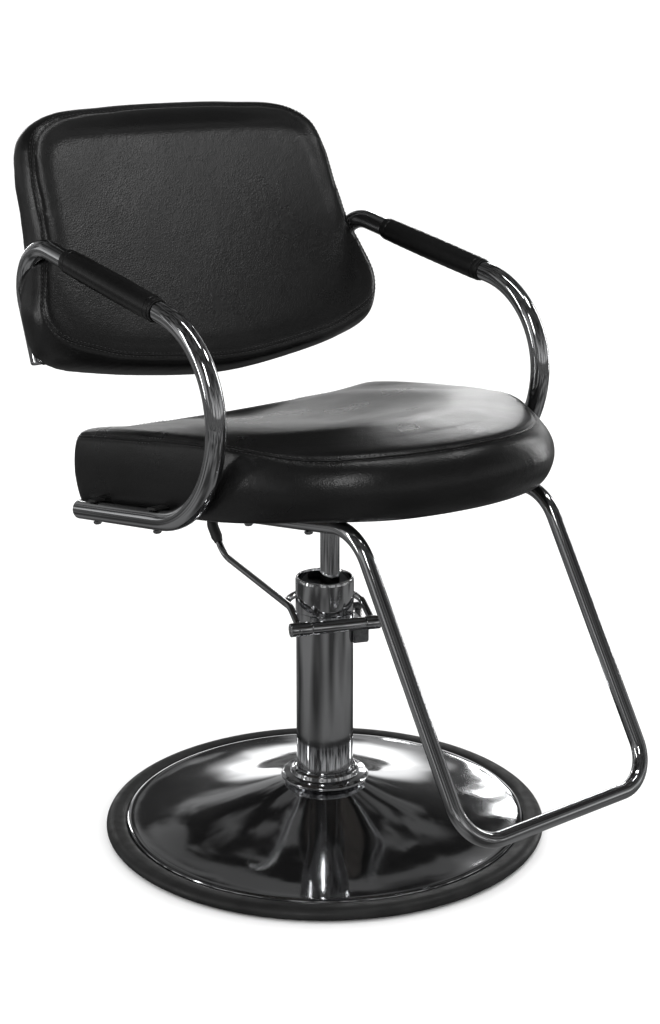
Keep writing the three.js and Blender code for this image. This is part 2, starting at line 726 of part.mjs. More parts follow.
// ---------------------------------------------------------------- backrest
// The left half of the outline as the sitter sees it, from the middle of the bottom edge round to the
// middle of the top.
const BACK_HALF = [
  [0, -116],
  [110, -107],
  [206, -90],
  [266, -65],
  [284, -16],
  [273, 32],
  [259, 78],
  [254, 125],
  [250, 178],
  [236, 224],
  [195, 249],
  [100, 258],
  [0, 260],
];
function backOutline(inset) {
  const left = BACK_HALF.slice(1, -1)
    .reverse()
    .map(([x, z]) => [-x, z]);
  const points = [...BACK_HALF, ...left].map(([x, z]) => {
    const out = new THREE.Vector2(x, z - BACK_MIDDLE_Z);
    return out.setLength(out.length() - inset).add(new THREE.Vector2(0, BACK_MIDDLE_Z));
  });
  const closed = new THREE.CatmullRomCurve3(
    points.map((p) => new THREE.Vector3(p.x, p.y, 0)),
    true,
    "centripetal",
  );
  const line = closed.getPoints(Math.round(1.5 * points.length));
  return new THREE.Shape(line.map((p) => new THREE.Vector2(p.x, p.y)));
}

// A hole through tube and cover into the board, along the backrest's own normal.
const backHole = (x, z, r = BOLT_R + GAP) =>
  disc(r, -60, BACK_COVER_T + GAP + BACK_BOARD_T - 2, 8)
    .rotateX(Math.PI / 2)
    .translate(x, 0, z);

function buildBack() {
  // Heights become depths in front of the rear face.
  const forward = (geometry) => geometry.rotateX(Math.PI / 2);
  const panel = (inset, from, to) => forward(slab(backOutline(inset), from, to));
  const holes = backBolts.map(([x, z]) => backHole(x, z));
  const rooms = armRooms(backFrame);

  add("back_cover", panel(BACK_COVER_INSET, 0, BACK_COVER_T), vinyl(), backFrame);
  const boardFrom = BACK_COVER_T + GAP;
  const boardTo = boardFrom + BACK_BOARD_T;
  const board = panel(BACK_BOARD_INSET, boardFrom, boardTo);
  add("back_board", cut(board, ...holes, ...rooms), plywood(), backFrame);

  const shell = reshape(forward(slab(backOutline(0), 0, BACK_T, BACK_EDGE)), 200, (at) => {
    at[1] *= 1 - (BACK_TAPER * (at[2] - BACK_TAPER_Z)) / 100;
  });
  const coverPocket = panel(BACK_COVER_INSET - GAP, -20, boardFrom);
  const boardPocket = panel(BACK_BOARD_INSET - GAP, BACK_COVER_T, boardTo + GAP);
  add("back_cushion", cut(shell, coverPocket, boardPocket, ...holes, ...rooms), vinyl(), backFrame);

  const head = 2 * ARM_R + 3 * GAP - ARM_RECESS; // how far the bolt heads stand behind the rear face
  backBolts.forEach(([x, z], i) => {
    const mesh = add(`back_bolt_${i + 1}`, bolt(head + boardTo - 3).rotateX(Math.PI / 2), zinc(), backFrame);
    mesh.position.set(x, head, z);
  });
}

buildBase();
buildPump();
buildRam();
buildLever();
buildSeat();
buildFootrest();
buildArm("right", -1);
buildArm("left", 1);
buildBack();

export default chair;
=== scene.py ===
"""Looks for the salon styling chair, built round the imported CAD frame. Metres; the chair faces -Y, +X is the
sitter's left and the origin is on the floor at the centre of the base."""

import json
import math

import bmesh
import bpy
import numpy as np
from mathutils import Matrix, Vector
from mathutils.bvhtree import BVHTree
from mathutils.kdtree import KDTree


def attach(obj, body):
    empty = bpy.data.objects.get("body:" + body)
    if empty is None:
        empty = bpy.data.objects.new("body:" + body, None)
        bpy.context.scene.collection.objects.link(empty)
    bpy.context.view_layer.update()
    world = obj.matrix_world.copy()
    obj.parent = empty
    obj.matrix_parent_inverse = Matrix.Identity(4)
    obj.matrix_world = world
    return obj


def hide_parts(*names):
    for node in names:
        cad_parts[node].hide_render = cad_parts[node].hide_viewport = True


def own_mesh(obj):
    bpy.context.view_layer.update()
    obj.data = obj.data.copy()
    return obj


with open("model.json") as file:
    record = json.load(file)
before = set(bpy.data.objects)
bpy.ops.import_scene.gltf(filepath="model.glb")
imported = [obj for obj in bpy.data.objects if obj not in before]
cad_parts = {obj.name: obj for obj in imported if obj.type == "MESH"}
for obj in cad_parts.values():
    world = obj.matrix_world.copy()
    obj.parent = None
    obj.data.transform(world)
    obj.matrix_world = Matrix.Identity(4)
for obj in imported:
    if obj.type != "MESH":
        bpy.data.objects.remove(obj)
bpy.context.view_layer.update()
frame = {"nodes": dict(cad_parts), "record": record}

MM = 0.001

# ---- driving dimensions, mm, as in the CAD
BASE_R, RIM_INNER_R, RIM_H, RIM_ROUND = 300, 272, 17, 13
DISH_TOP_R, DISH_TOP_Z = 46, 66
COLUMN_R, COLUMN_TOP, COLUMN_WALL = 38.5, 353, 3
GLAND_TOP = 333
RAM_R, RAM_X, RAM_Y = 13, 5.4, -4.4
RAM_BOTTOM, RAM_SHOULDER, RAM_TOP, RAM_STUB_R = 30, 440, 465, 10
HUB_BOTTOM, HUB_TOP, HUB_DEPTH, HUB_OUTER_R = 420.5, 476, 21, 22
LEVER_YAW = math.radians(-22)
PIVOT_Y, PIVOT_Z, HUB_R, LEVER_R, ARM_REACH, ARM_RISE, GRIP_R = -52, 300, 9.2, 4.8, 50, 17, 8
BLOCK_TOP = 284
SEAT_TILT, SEAT_Z = math.radians(7.8), 491.5
BOARD_T = 13.5
BACK_TILT, BACK_Y, BACK_Z = math.radians(19), 285, 700
ARM_X, ARM_R, ARM_FRONT_Y, ARM_REAR_Y, ARM_FOOT_Z, ARM_RECESS = 265, 12.7, -128, 176, 636, 11
ARMREST_SLOPE, ARMREST_Z = 0.19, 741.3
SLEEVE_R, SLEEVE_YS = 15.8, (-15, 186)
FOOT_X, FOOT_R, FOOT_Y, FOOT_Z, FOOT_LEAN, FOOT_REAR_Y = 154, 9.5, -448, 169, 0.6, -8
FOOT_BOLT_YS, ARM_BOLT_YS, BACK_BOLT_ZS, BACK_BOLT_X = (-157, -35), (3, 142), (-26, 4), 260
GAP = 0.3

SEAT = Matrix.Translation((0, 0, SEAT_Z * MM)) @ Matrix.Rotation(-SEAT_TILT, 4, "X")
BACK = Matrix.Translation((0, BACK_Y * MM, BACK_Z * MM)) @ Matrix.Rotation(-BACK_TILT, 4, "X")
LEVER = Matrix.Rotation(LEVER_YAW, 4, "Z")


def lerp(a, b, t):
    return a + (b - a) * t


def smoothstep(a, b, x):
    t = min(1.0, max(0.0, (x - a) / (b - a)))
    return t * t * (3 - 2 * t)


# ---- materials
def grey(value, cast=0.0):
    """A grey, which a cast makes a little bluer."""
    return (value, value + min(cast, 0.005), value + cast)


class Nodes:
    """A node tree and short ways to add nodes to it, whose textures read one kind of coordinates."""

    def __init__(self, tree, coordinates):
        self.tree = tree
        self.place = self.node("ShaderNodeTexCoord").outputs[coordinates]

    def node(self, kind, **sockets):
        made = self.tree.nodes.new(kind)
        for name, value in sockets.items():
            made.inputs[name.replace("_", " ")].default_value = value
        return made

    def link(self, source, target):
        self.tree.links.new(source, target)

    def stretched(self, scale):
        """The coordinates, scaled differently along each axis."""
        mapping = self.node("ShaderNodeMapping", Scale=scale)
        self.link(self.place, mapping.inputs["Vector"])
        return mapping.outputs["Vector"]

    def noise(self, scale, detail=2.0, vector=None, roughness=0.5):
        made = self.node("ShaderNodeTexNoise", Scale=scale, Detail=detail, Roughness=roughness)
        self.link(vector or self.place, made.inputs["Vector"])
        return made.outputs["Fac"]

    def cells(self, scale):
        """How far a point is from the nearest edge between cells."""
        made = self.node("ShaderNodeTexVoronoi", Scale=scale)
        made.feature = "DISTANCE_TO_EDGE"
        self.link(self.place, made.inputs["Vector"])
        return made.outputs["Distance"]

    def ranged(self, value, low, high, from_low=0.0, from_high=1.0, smooth=False):
        made = self.node("ShaderNodeMapRange", From_Min=from_low, From_Max=from_high, To_Min=low, To_Max=high)
        if smooth:
            made.interpolation_type = "SMOOTHSTEP"
        self.link(value, made.inputs["Value"])
        return made.outputs["Result"]

    def swapped_for_gloss(self, plain, glossy, output):
        """Links the plain shader to the output, and the other one for what polished and glossy pieces see."""
        mix = self.node("ShaderNodeMixShader")
        self.link(self.node("ShaderNodeLightPath").outputs["Is Glossy Ray"], mix.inputs[0])
        self.link(plain.outputs[0], mix.inputs[1])
        self.link(glossy.outputs[0], mix.inputs[2])
        self.link(mix.outputs[0], self.tree.nodes[output].inputs["Surface"])


class Material(Nodes):
    """A Principled material."""

    def __init__(self, name, color, roughness, metallic=0.0):
        self.data = bpy.data.materials.new(name)
        self.data.use_nodes = True
        super().__init__(self.data.node_tree, "Object")
        self.shader = self.tree.nodes["Principled BSDF"]
        self.shader.inputs["Base Color"].default_value = (*color, 1)
        self.shader.inputs["Roughness"].default_value = roughness
        self.shader.inputs["Metallic"].default_value = metallic

    def tinted(self, value, dark, light, start=0.3, end=0.7):
        made = self.node("ShaderNodeValToRGB")
        for element, position, color in zip(made.color_ramp.elements, (start, end), (dark, light)):
            element.position = position
            element.color = (*color, 1)
        self.link(value, made.inputs["Fac"])
        self.link(made.outputs["Color"], self.shader.inputs["Base Color"])

    def rough(self, value, low, high):
        self.link(self.ranged(value, low, high, 0.3, 0.7), self.shader.inputs["Roughness"])

    def bump(self, *layers):
        """Layers of (height value, strength, distance in metres), each laid on the one before."""
        normal = None
        for height, strength, distance in layers:
            made = self.node("ShaderNodeBump", Strength=strength, Distance=distance)
            self.link(height, made.inputs["Height"])
            if normal:
                self.link(normal, made.inputs["Normal"])
            normal = made.outputs["Normal"]
        self.link(normal, self.shader.inputs["Normal"])


def vinyl_material(name, grain=1.0):
    """Black upholstery vinyl: a pebble grain over faint creases, glossier where it has been rubbed."""
    made = Material(name, grey(0.003), 0.29)
    made.shader.inputs["Specular IOR Level"].default_value = 0.5
    made.tinted(made.noise(7, 3), grey(0.0022), (0.0045, 0.0045, 0.0046))
    made.rough(made.noise(11, 4), 0.26, 0.33)
    pebbles = made.ranged(made.cells(340), 0.0, 1.0, 0.0, 0.5)
    made.bump(
        (made.noise(30, 3, roughness=0.6), 0.10, 0.003),
        (made.noise(190, 2), 0.22 * grain, 0.0006),
        (pebbles, 0.21 * grain, 0.0005),
    )
    return made.data


def mottled(name, color, roughness, metallic, tint, rough, *bumps):
    """A material whose colour, roughness and bumps follow noises, each given as its scale and detail."""
    made = Material(name, color, roughness, metallic)
    made.tinted(made.noise(*tint[:2]), *tint[2:])
    made.rough(made.noise(*rough[:2], roughness=0.65 if metallic else 0.5), *rough[2:])
    made.bump(*((made.noise(scale, detail), strength, depth) for scale, detail, strength, depth in bumps))
    return made.data


def steel_material(name):
    made = Material(name, grey(0.32, 0.01), 0.36, 1.0)
    brushed = made.noise(1.0, 3, made.stretched((400, 12, 400)))
    made.tinted(brushed, grey(0.26, 0.01), grey(0.40, 0.01))
    made.rough(brushed, 0.28, 0.46)
    made.bump((brushed, 0.15, 0.0003), (made.noise(90, 4), 0.10, 0.001))
    return made.data


def zinc_material(name):
    made = Material(name, grey(0.42, 0.01), 0.3, 1.0)
    made.tinted(made.cells(300), grey(0.34, 0.01), grey(0.50, 0.01), 0.0, 0.4)
    made.rough(made.noise(260, 3), 0.22, 0.42)
    made.bump((made.noise(500, 3), 0.12, 0.0003))
    return made.data


def brass_material(name):
    made = Material(name, (0.55, 0.40, 0.18), 0.3, 1.0)
    turned = made.noise(1.0, 2, made.stretched((20, 20, 1500)))
    made.tinted(made.noise(60, 4), (0.45, 0.32, 0.14), (0.62, 0.46, 0.22))
    made.rough(turned, 0.22, 0.40)
    made.bump((turned, 0.15, 0.0002))
    return made.data


def plywood_material(name):
    """Dark-stained board: long streaks with short pores along the grain."""
    made = Material(name, (0.03, 0.026, 0.022), 0.7)
    streaks = made.noise(1.0, 5, made.stretched((9, 160, 160)), roughness=0.6)
    made.tinted(streaks, (0.018, 0.015, 0.013), (0.042, 0.036, 0.031))
    made.rough(made.noise(50, 3), 0.6, 0.8)
    made.bump((streaks, 0.3, 0.0006))
    return made.data


def thread_material(name):
    made = Material(name, grey(0.06), 0.5)
    twist = made.noise(2400, 1)
    made.tinted(twist, grey(0.02), grey(0.06))
    made.bump((twist, 0.4, 0.0002))
    return made.data


VINYL = vinyl_material("vinyl_black")
SLEEVE_VINYL = vinyl_material("vinyl_sleeve", 0.5)
# Chrome with the haze and fine wiping marks of handling, and on the dish the slight flats of spinning.
CHROME = mottled(
    "chrome_polished", grey(0.60, 0.015), 0.07, 1.0,
    (9, 4, grey(0.55, 0.015), grey(0.63, 0.015)), (38, 5, 0.045, 0.12),
    (14, 2, 0.05, 0.004), (900, 1, 0.02, 0.0001),
)
DISH_CHROME = mottled(
    "chrome_spun", grey(0.60, 0.015), 0.06, 1.0,
    (6, 4, grey(0.54, 0.015), grey(0.64, 0.015)), (30, 5, 0.04, 0.10),
    (7, 1, 0.35, 0.010), (700, 1, 0.02, 0.0001),
)
RUBBER = mottled(
    "rubber_black", grey(0.009), 0.45, 0.0,
    (24, 4, grey(0.006), grey(0.013)), (60, 4, 0.42, 0.58),
    (40, 3, 0.08, 0.002), (1500, 2, 0.25, 0.0002),
)
# Black enamel with a slight orange peel.
PAINT = mottled(
    "paint_black", grey(0.01), 0.35, 0.0,
    (80, 4, grey(0.007), grey(0.016)), (120, 3, 0.28, 0.42), (500, 2, 0.12, 0.0002),
)
STEEL = steel_material("steel_plain")
ZINC = zinc_material("zinc_plated")
BRASS = brass_material("brass_machined")
PLYWOOD = plywood_material("plywood_stained")
THREAD = thread_material("thread_black")

NODE_MATERIAL = {
    "chrome": CHROME, "steel": STEEL, "zinc": ZINC, "brass": BRASS,
    "rubber": RUBBER, "vinyl": VINYL, "plywood": PLYWOOD, "paint": PAINT,
}
SLOT_OF = {material.name: slot for slot, material in NODE_MATERIAL.items()}
SLOT_OF.update({SLEEVE_VINYL.name: "vinyl", DISH_CHROME.name: "chrome", THREAD.name: "vinyl"})


# ---- mesh helpers, in mm until place()
def moved(bm, matrix):
    bmesh.ops.transform(bm, matrix=matrix, verts=bm.verts)
    return bm


def as_object(name, bm, matrix=None):
    """A bmesh in mm as an object of the scene, in metres."""
    moved(bm, Matrix.Scale(MM, 4))
    if matrix:
        moved(bm, matrix)
    mesh = bpy.data.meshes.new(name)
    bm.to_mesh(mesh)
    bm.free()
    piece = bpy.data.objects.new(name, mesh)
    bpy.context.collection.objects.link(piece)
    return piece


def place(name, bm, material, body, matrix=None, replaces=(), sharp=38):
    """Makes a bmesh a piece that rides on a body. Edges that fold by over sharp degrees stay sharp."""
    bmesh.ops.remove_doubles(bm, verts=bm.verts, dist=1e-4)
    bmesh.ops.recalc_face_normals(bm, faces=bm.faces)
    for face in bm.faces:
        face.smooth = True
    for edge in bm.edges:
        if len(edge.link_faces) == 2 and edge.calc_face_angle(0) > math.radians(sharp):
            edge.smooth = False
    piece = as_object(name, bm, matrix)
    piece.data.materials.append(material)
    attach(piece, body)
    if replaces:
        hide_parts(*replaces)
    return piece


def loft(rings, closed=False, caps=True, bm=None):
    """A skin over rings of the same number of points."""
    bm = bm or bmesh.new()
    rows = [[bm.verts.new(p) for p in ring] for ring in rings]
    count = len(rows[0])
    pairs = list(zip(rows, rows[1:])) + ([(rows[-1], rows[0])] if closed else [])
    for low, high in pairs:
        for i in range(count):
            j = (i + 1) % count
            bm.faces.new((low[i], low[j], high[j], high[i]))
    if caps and not closed:
        bm.faces.new(rows[0])
        bm.faces.new(list(reversed(rows[-1])))
    return bm


def circle(centre, side, up, radius, count):
    """Points round a centre, in the plane of two unit vectors."""
    angles = [2 * math.pi * i / count for i in range(count)]
    return [centre + side * radius * math.cos(angle) + up * radius * math.sin(angle) for angle in angles]


AXIS_SHARE = 0.01 # a turned body's axis is a tiny hole, this share of the radius beside it, closed by a cap


def filleted(points, steps=5):
    """A polyline of (r, z, fillet radius) points with its corners rounded to arcs."""
    out = []
    last = len(points) - 1
    for i, (r, z, fillet) in enumerate(points):
        here = Vector((r, z))
        before = Vector(points[i - 1 if i else last][:2])
        after = Vector(points[i + 1 if i < last else 0][:2])
        if fillet <= 0 or r == 0:
            out.append((r, z))
            continue
        into = (before - here).normalized()
        away = (after - here).normalized()
        half = math.acos(max(-1, min(1, into.dot(away)))) / 2
        back = min(fillet / math.tan(half), 0.49 * (before - here).length, 0.49 * (after - here).length)
        start, end = here + into * back, here + away * back
        for k in range(steps + 1):
            t = k / steps
            point = (1 - t) ** 2 * start + 2 * t * (1 - t) * here + t * t * end
            out.append((point.x, point.y))
    return out


def turned(profile, segments=96, at=(0, 0, 0)):
    """A turned body about Z. A profile that starts and ends off the axis is joined up into a ring."""
    on_axis = profile[0][0] == 0 and profile[-1][0] == 0
    if on_axis:
        start = (profile[1][0] * AXIS_SHARE, profile[0][1])
        end = (profile[-2][0] * AXIS_SHARE, profile[-1][1])
        profile = [start, *profile[1:-1], end]
    middle, side, up = Vector(at), Vector((1, 0, 0)), Vector((0, 1, 0))
    rings = [circle(middle + Vector((0, 0, z)), side, up, r, segments) for r, z in profile]
    return loft(rings, closed=not on_axis, caps=on_axis)


def across(bm, y, z):
    """Lays a body turned about Z along +X through the line at y, z."""
    return moved(bm, Matrix.Translation((0, y, z)) @ Matrix.Rotation(math.pi / 2, 4, "Y"))


def merged(*parts):
    """One bmesh from several."""
    total = bmesh.new()
    for part in parts:
        mesh = bpy.data.meshes.new("part")
        part.to_mesh(mesh)
        part.free()
        total.from_mesh(mesh)
        bpy.data.meshes.remove(mesh)
    return total


def bent_path(corners, bend_step=math.radians(5), run_step=12):
    """Points along straight runs joined by round bends; corners are (x, y, z, bend radius)."""
    points = []
    for i, (x, y, z, radius) in enumerate(corners):
        at = Vector((x, y, z))
        if not radius:
            points.append(at)
            continue
        into = (at - Vector(corners[i - 1][:3])).normalized()
        away = (Vector(corners[i + 1][:3]) - at).normalized()
        turn = into.angle(away)
        start = at - into * radius * math.tan(turn / 2)
        inward = (away - into * away.dot(into)).normalized()
        steps = max(4, math.ceil(turn / bend_step))
        for k in range(steps + 1):
            angle = turn * k / steps
            points.append(start + into * radius * math.sin(angle) + inward * radius * (1 - math.cos(angle)))
    out = [points[0]]
    for a, b in zip(points, points[1:]):
        pieces = max(1, round((b - a).length / run_step))
        out += [a.lerp(b, (k + 1) / pieces) for k in range(pieces)]
    return out


DOME_SHARES = [k / 4.3 for k in range(1, 5)] # of a quarter turn, short of the top, which is a small cap


def tangents(points):
    ends = [points[0] * 2 - points[1], *points, points[-1] * 2 - points[-2]]
    return [(ends[i + 2] - ends[i]).normalized() for i in range(len(points))]


def swept(points, radius, sides=36, bm=None, cap_round=0.0):
    """A round bar along points, its ends domed by cap_round. radius may be a list, one for each point."""
    radii = radius if isinstance(radius, list) else [radius] * len(points)
    along = tangents(points)
    side = along[0].orthogonal().normalized()
    rings = []
    for point, tangent, r in zip(points, along, radii):
        side = (side - tangent * side.dot(tangent)).normalized()
        up = tangent.cross(side)
        rings.append(circle(point, side, up, r, sides))
    if cap_round:
        for end, outward in ((0, -along[0]), (-1, along[-1])):
            centre, rim, domes = points[end], rings[end], []
            for share in DOME_SHARES:
                angle = math.pi / 2 * share
                crown = centre + outward * cap_round * math.sin(angle)
                domes.append([crown + (p - centre) * math.cos(angle) for p in rim])
            rings = list(reversed(domes)) + rings if end == 0 else rings + domes
    return loft(rings, bm=bm)


# ---- base and column
RIM_STEPS, DISH_STEPS, DISH_POWER = 20, 48, 1.7


def build_base():
    rim = [(RIM_INNER_R, 0)]
    for i in range(RIM_STEPS + 1):
        angle = math.pi * (i / RIM_STEPS - 0.5)
        rim.append((BASE_R - RIM_ROUND + RIM_ROUND * math.cos(angle), RIM_H / 2 * (1 + math.sin(angle))))
    # Its top falls away towards the dish.
    for out, drop in ((8, 0.6), (3, 1.6), (0.6, 3.2), (0, 4.5)):
        rim.append((RIM_INNER_R + out, RIM_H - drop))
    place("rim", turned(rim, 192), RUBBER, "base", replaces=["rim_ring"])

    # The dish rises slowly from its rolled lip and ever more steeply towards the column.
    lip = RIM_INNER_R - GAP
    upper = [(lip, 8), (lip, RIM_H - 3), (lip - 1, RIM_H - 1.2), (lip - 3, RIM_H - 0.4)]
    for i in range(DISH_STEPS + 1):
        share = i / DISH_STEPS
        r = lerp(lip - 6, DISH_TOP_R, share)
        upper.append((r, RIM_H + (DISH_TOP_Z - RIM_H) * share**DISH_POWER))
    lower = [(r - 0.6, z - 2) for r, z in reversed(upper[2:])] + [(lip - 2, 8)]
    place("dish", turned(upper + lower, 192), DISH_CHROME, "base", replaces=["base_dish"])

    bore = COLUMN_R + GAP
    z = DISH_TOP_Z + GAP
    collar = [(bore, z, 0), (56, z, 0.6), (60, z + 2.2, 1.5), (60, z + 5, 1.5), (56, z + 8, 1.5)]
    collar += [(47, z + 8.8, 0.8), (45.5, z + 14, 1.2), (42, z + 16.5, 1), (bore, z + 16.2, 0.4)]
    place("collar", turned(filleted(collar), 128), CHROME, "base", replaces=["column_collar"])

    # A faint step divides the pump's cap from the casing below it, and the cap ends in a thin rolled lip.
    inner = COLUMN_R - COLUMN_WALL
    casing = [(inner, 14, 0), (COLUMN_R, 14, 0), (COLUMN_R, PIVOT_Z + 7, 0.4)]
    casing += [(COLUMN_R + 0.7, PIVOT_Z + 8, 0.4), (COLUMN_R + 0.7, COLUMN_TOP - 4, 0.6)]
    casing += [(COLUMN_R - 0.2, COLUMN_TOP, 1.2), (inner + 0.6, COLUMN_TOP, 0.6)]
    casing.append((inner, COLUMN_TOP - 3, 0.5))
    place("casing", turned(filleted(casing), 128), CHROME, "base", replaces=["pump_casing"])
    low = GLAND_TOP - 12
    bore, out = RAM_R + 6, inner - GAP
    gland = [(bore, low, 0), (out, low, 0), (out, GLAND_TOP, 1.2), (bore, GLAND_TOP, 0.5)]
    place("gland", turned(filleted(gland), 96), STEEL, "base", replaces=["ram_gland"])
    bore, low, high = RAM_R + 0.2, GLAND_TOP + 0.4, GLAND_TOP + 7
    seal = [(bore, low, 0), (21, low, 0.4), (21, GLAND_TOP + 4, 1), (15, high, 1), (bore, high, 0.3)]
    on_ram = (RAM_X, RAM_Y, 0)
    place("wiper_seal", turned(filleted(seal), 64, on_ram), RUBBER, "base", replaces=["ram_wiper_seal"])
    ram = [
        (0, RAM_BOTTOM, 0),
        (RAM_R, RAM_BOTTOM, 1),
        (RAM_R, RAM_SHOULDER, 0.8),
        (RAM_STUB_R, RAM_SHOULDER, 0.3),
        (RAM_STUB_R, RAM_TOP, 1),
        (0, RAM_TOP, 0),
    ]
    place("ram_rod", turned(filleted(ram), 96, on_ram), CHROME, "lift", replaces=["ram"])
    # The hub's top is cut to the seat's slope.
    bore = RAM_R + GAP
    hub = [(bore, HUB_BOTTOM, 0.5), (HUB_OUTER_R, HUB_BOTTOM, 1.2), (HUB_OUTER_R, HUB_TOP, 0)]
    hub.append((bore, HUB_TOP, 0))
    bm = turned(filleted(hub), 96, on_ram)
    for vert in bm.verts:
        if vert.co.z > HUB_TOP - 1:
            vert.co.z = below_seat(vert.co.y, HUB_DEPTH)
    place("hub", bm, CHROME, "seat", replaces=["seat_hub"])


# ---- pump lever
PIN_R = 4
WEB_HALF, WEB_SPAN, WEB_STEPS = 7.2, (-29, 35), 24
BLOCK_SIZE, BLOCK_X, PLUNGER_R, PLUNGER_TRAVEL = (28, 40, 22), 41, 4, 12


def drill(piece, cutter, matrix):
    """Takes the cutter, a closed bmesh in mm, out of a piece."""
    tool = as_object("cutter", cutter, matrix)
    modifier = piece.modifiers.new("hole", "BOOLEAN")
    modifier.operation = "DIFFERENCE"
    modifier.object = tool
    apply_modifiers(piece)
    bpy.data.objects.remove(tool)


def build_lever():
    bar = turned(filleted([(0, -34, 0), (8.6, -34, 1.2), (8.6, 40, 1.2), (0, 40, 0)]), 64)
    across(bar, PIVOT_Y, PIVOT_Z)
    # The web hugs the column: its back edge follows the casing round.
    rings = []
    low, high = PIVOT_Z - WEB_HALF, PIVOT_Z + WEB_HALF
    for i in range(WEB_STEPS + 1):
        x = lerp(*WEB_SPAN, i / WEB_STEPS)
        reach = -math.sqrt(max(0.0, (COLUMN_R + 0.9) ** 2 - x * x))
        y = min(max(reach, PIVOT_Y + 2), -24)
        rings.append([(x, PIVOT_Y, low), (x, y, low), (x, y, high), (x, PIVOT_Y, high)])
    web = loft(rings)
    bmesh.ops.bevel(web, geom=web.edges, offset=0.5, segments=2, affect="EDGES")
    place("bracket", merged(bar, web), CHROME, "base", LEVER, ["pivot_bracket"])

    pin = [(0, -62, 0), (PIN_R, -62, 0.6), (PIN_R, 60.3, 0)]
    pin += [(6.6, 60.3, 0.5), (6.6, 63.4, 1), (4.6, 65.6, 1), (0, 65.8, 0)]
    place("pin", across(turned(filleted(pin), 48), PIVOT_Y, PIVOT_Z), ZINC, "base", LEVER, ["pivot_pin"])

    beside = PIVOT_Z + ARM_RISE
    start = PIVOT_Y + 4
    rod_path = bent_path(
        [
            (-ARM_REACH, start, PIVOT_Z + 3, 0),
            (-ARM_REACH, -8, beside, 40),
            (-88, 204, beside + 14, 60),
            (-96, 247, beside + 53, 22),
            (-76, 255, beside + 76, 0),
        ],
        run_step=6,
    )

    def hub(x0, x1):
        bore = PIN_R + GAP
        profile = filleted([(bore, x0, 0.4), (HUB_R, x0, 1.3), (HUB_R, x1, 1.3), (bore, x1, 0.4)])
        return across(turned(profile, 64), PIVOT_Y, PIVOT_Z)

    rod = swept(rod_path, LEVER_R, cap_round=1.5)
    place("lever", merged(hub(-63, -34.4), rod), CHROME, "lever", LEVER, ["lever_rod"])
    yoke_path = [(ARM_REACH, start, PIVOT_Z + 3, 0), (ARM_REACH, -8, beside, 40)]
    for degrees in range(8, 161, 8):
        angle = math.radians(degrees)
        yoke_path.append((ARM_REACH * math.cos(angle), ARM_REACH * math.sin(angle), beside, 0))
    yoke_path = bent_path(yoke_path, run_step=5)
    place("yoke", merged(hub(40.4, 60), swept(yoke_path, LEVER_R)), CHROME, "lever", LEVER, ["lever_yoke"])

    # The grip is a moulded sleeve with a rounded nose and a small collar where it meets the rod.
    grip_path = [(-91.4, 222.3, beside + 30.6, 0), (-96, 247, beside + 53, 22)]
    grip_path.append((-73, 256.2, beside + 79.4, 0))
    grip_path = bent_path(grip_path, run_step=3)
    radii = []
    for i in range(len(grip_path)):
        share = i / (len(grip_path) - 1)
        collar = 0.5 * math.exp(-(((share - 0.06) / 0.03) ** 2))
        radii.append(GRIP_R * (0.80 + 0.20 * smoothstep(0.0, 0.10, share)) + collar)
    place("grip", swept(grip_path, radii, 40, cap_round=6), RUBBER, "lever", LEVER, ["lever_grip"])

    screw = filleted([(1.3, 1.0, 0.2), (2.5, 1.2, 0.4), (2.5, -4, 0), (0, -4, 0)])
    bm = turned([(0, -0.6), (1.1, -0.6), *screw], 24)
    on_hub = Matrix.Translation((-52, PIVOT_Y - HUB_R, PIVOT_Z)) @ Matrix.Rotation(math.pi / 2, 4, "X")
    place("set_screw", moved(bm, on_hub), ZINC, "lever", LEVER, ["lever_set_screw"])

    block = bmesh.new()
    bmesh.ops.create_cube(block, size=1)
    bmesh.ops.scale(block, vec=BLOCK_SIZE, verts=block.verts)
    bmesh.ops.translate(block, vec=(BLOCK_X, -4, BLOCK_TOP - BLOCK_SIZE[2] / 2), verts=block.verts)
    for vert in block.verts:
        if vert.co.x < BLOCK_X:
            vert.co.x = 33 if abs(vert.co.y) > 20 else 31
    bmesh.ops.bevel(block, geom=block.edges, offset=1.6, segments=3, affect="EDGES")
    block = place("block", block, STEEL, "base", LEVER, ["pump_block"])
    plunger_at = (ARM_REACH - 3, 2, 0)
    bore, low, high = PLUNGER_R + GAP, BLOCK_TOP - 84, BLOCK_TOP + 116
    drill(block, turned([(0, low), (bore, low), (bore, high), (0, high)], 48, plunger_at), LEVER)
    crown, low = beside - LEVER_R - 1, BLOCK_TOP - 19
    plunger = [(0, low, 0), (PLUNGER_R, low, 0), (PLUNGER_R, crown - 7, 0), (7.5, crown - 7, 0.6)]
    plunger += [(7.5, crown - 4, 1), (5.5, crown - 1, 1), (0, crown, 0)]
    place("plunger", turned(filleted(plunger), 48, plunger_at), ZINC, "plunger", LEVER, ["pump_plunger"])

    # The return spring gets a mesh of its own.
    spring = frame["nodes"]["plunger_spring"]
    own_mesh(spring)


# ---- tubes
def below_seat(y, depth):
    return SEAT_Z - depth / math.cos(SEAT_TILT) - y * math.tan(SEAT_TILT)


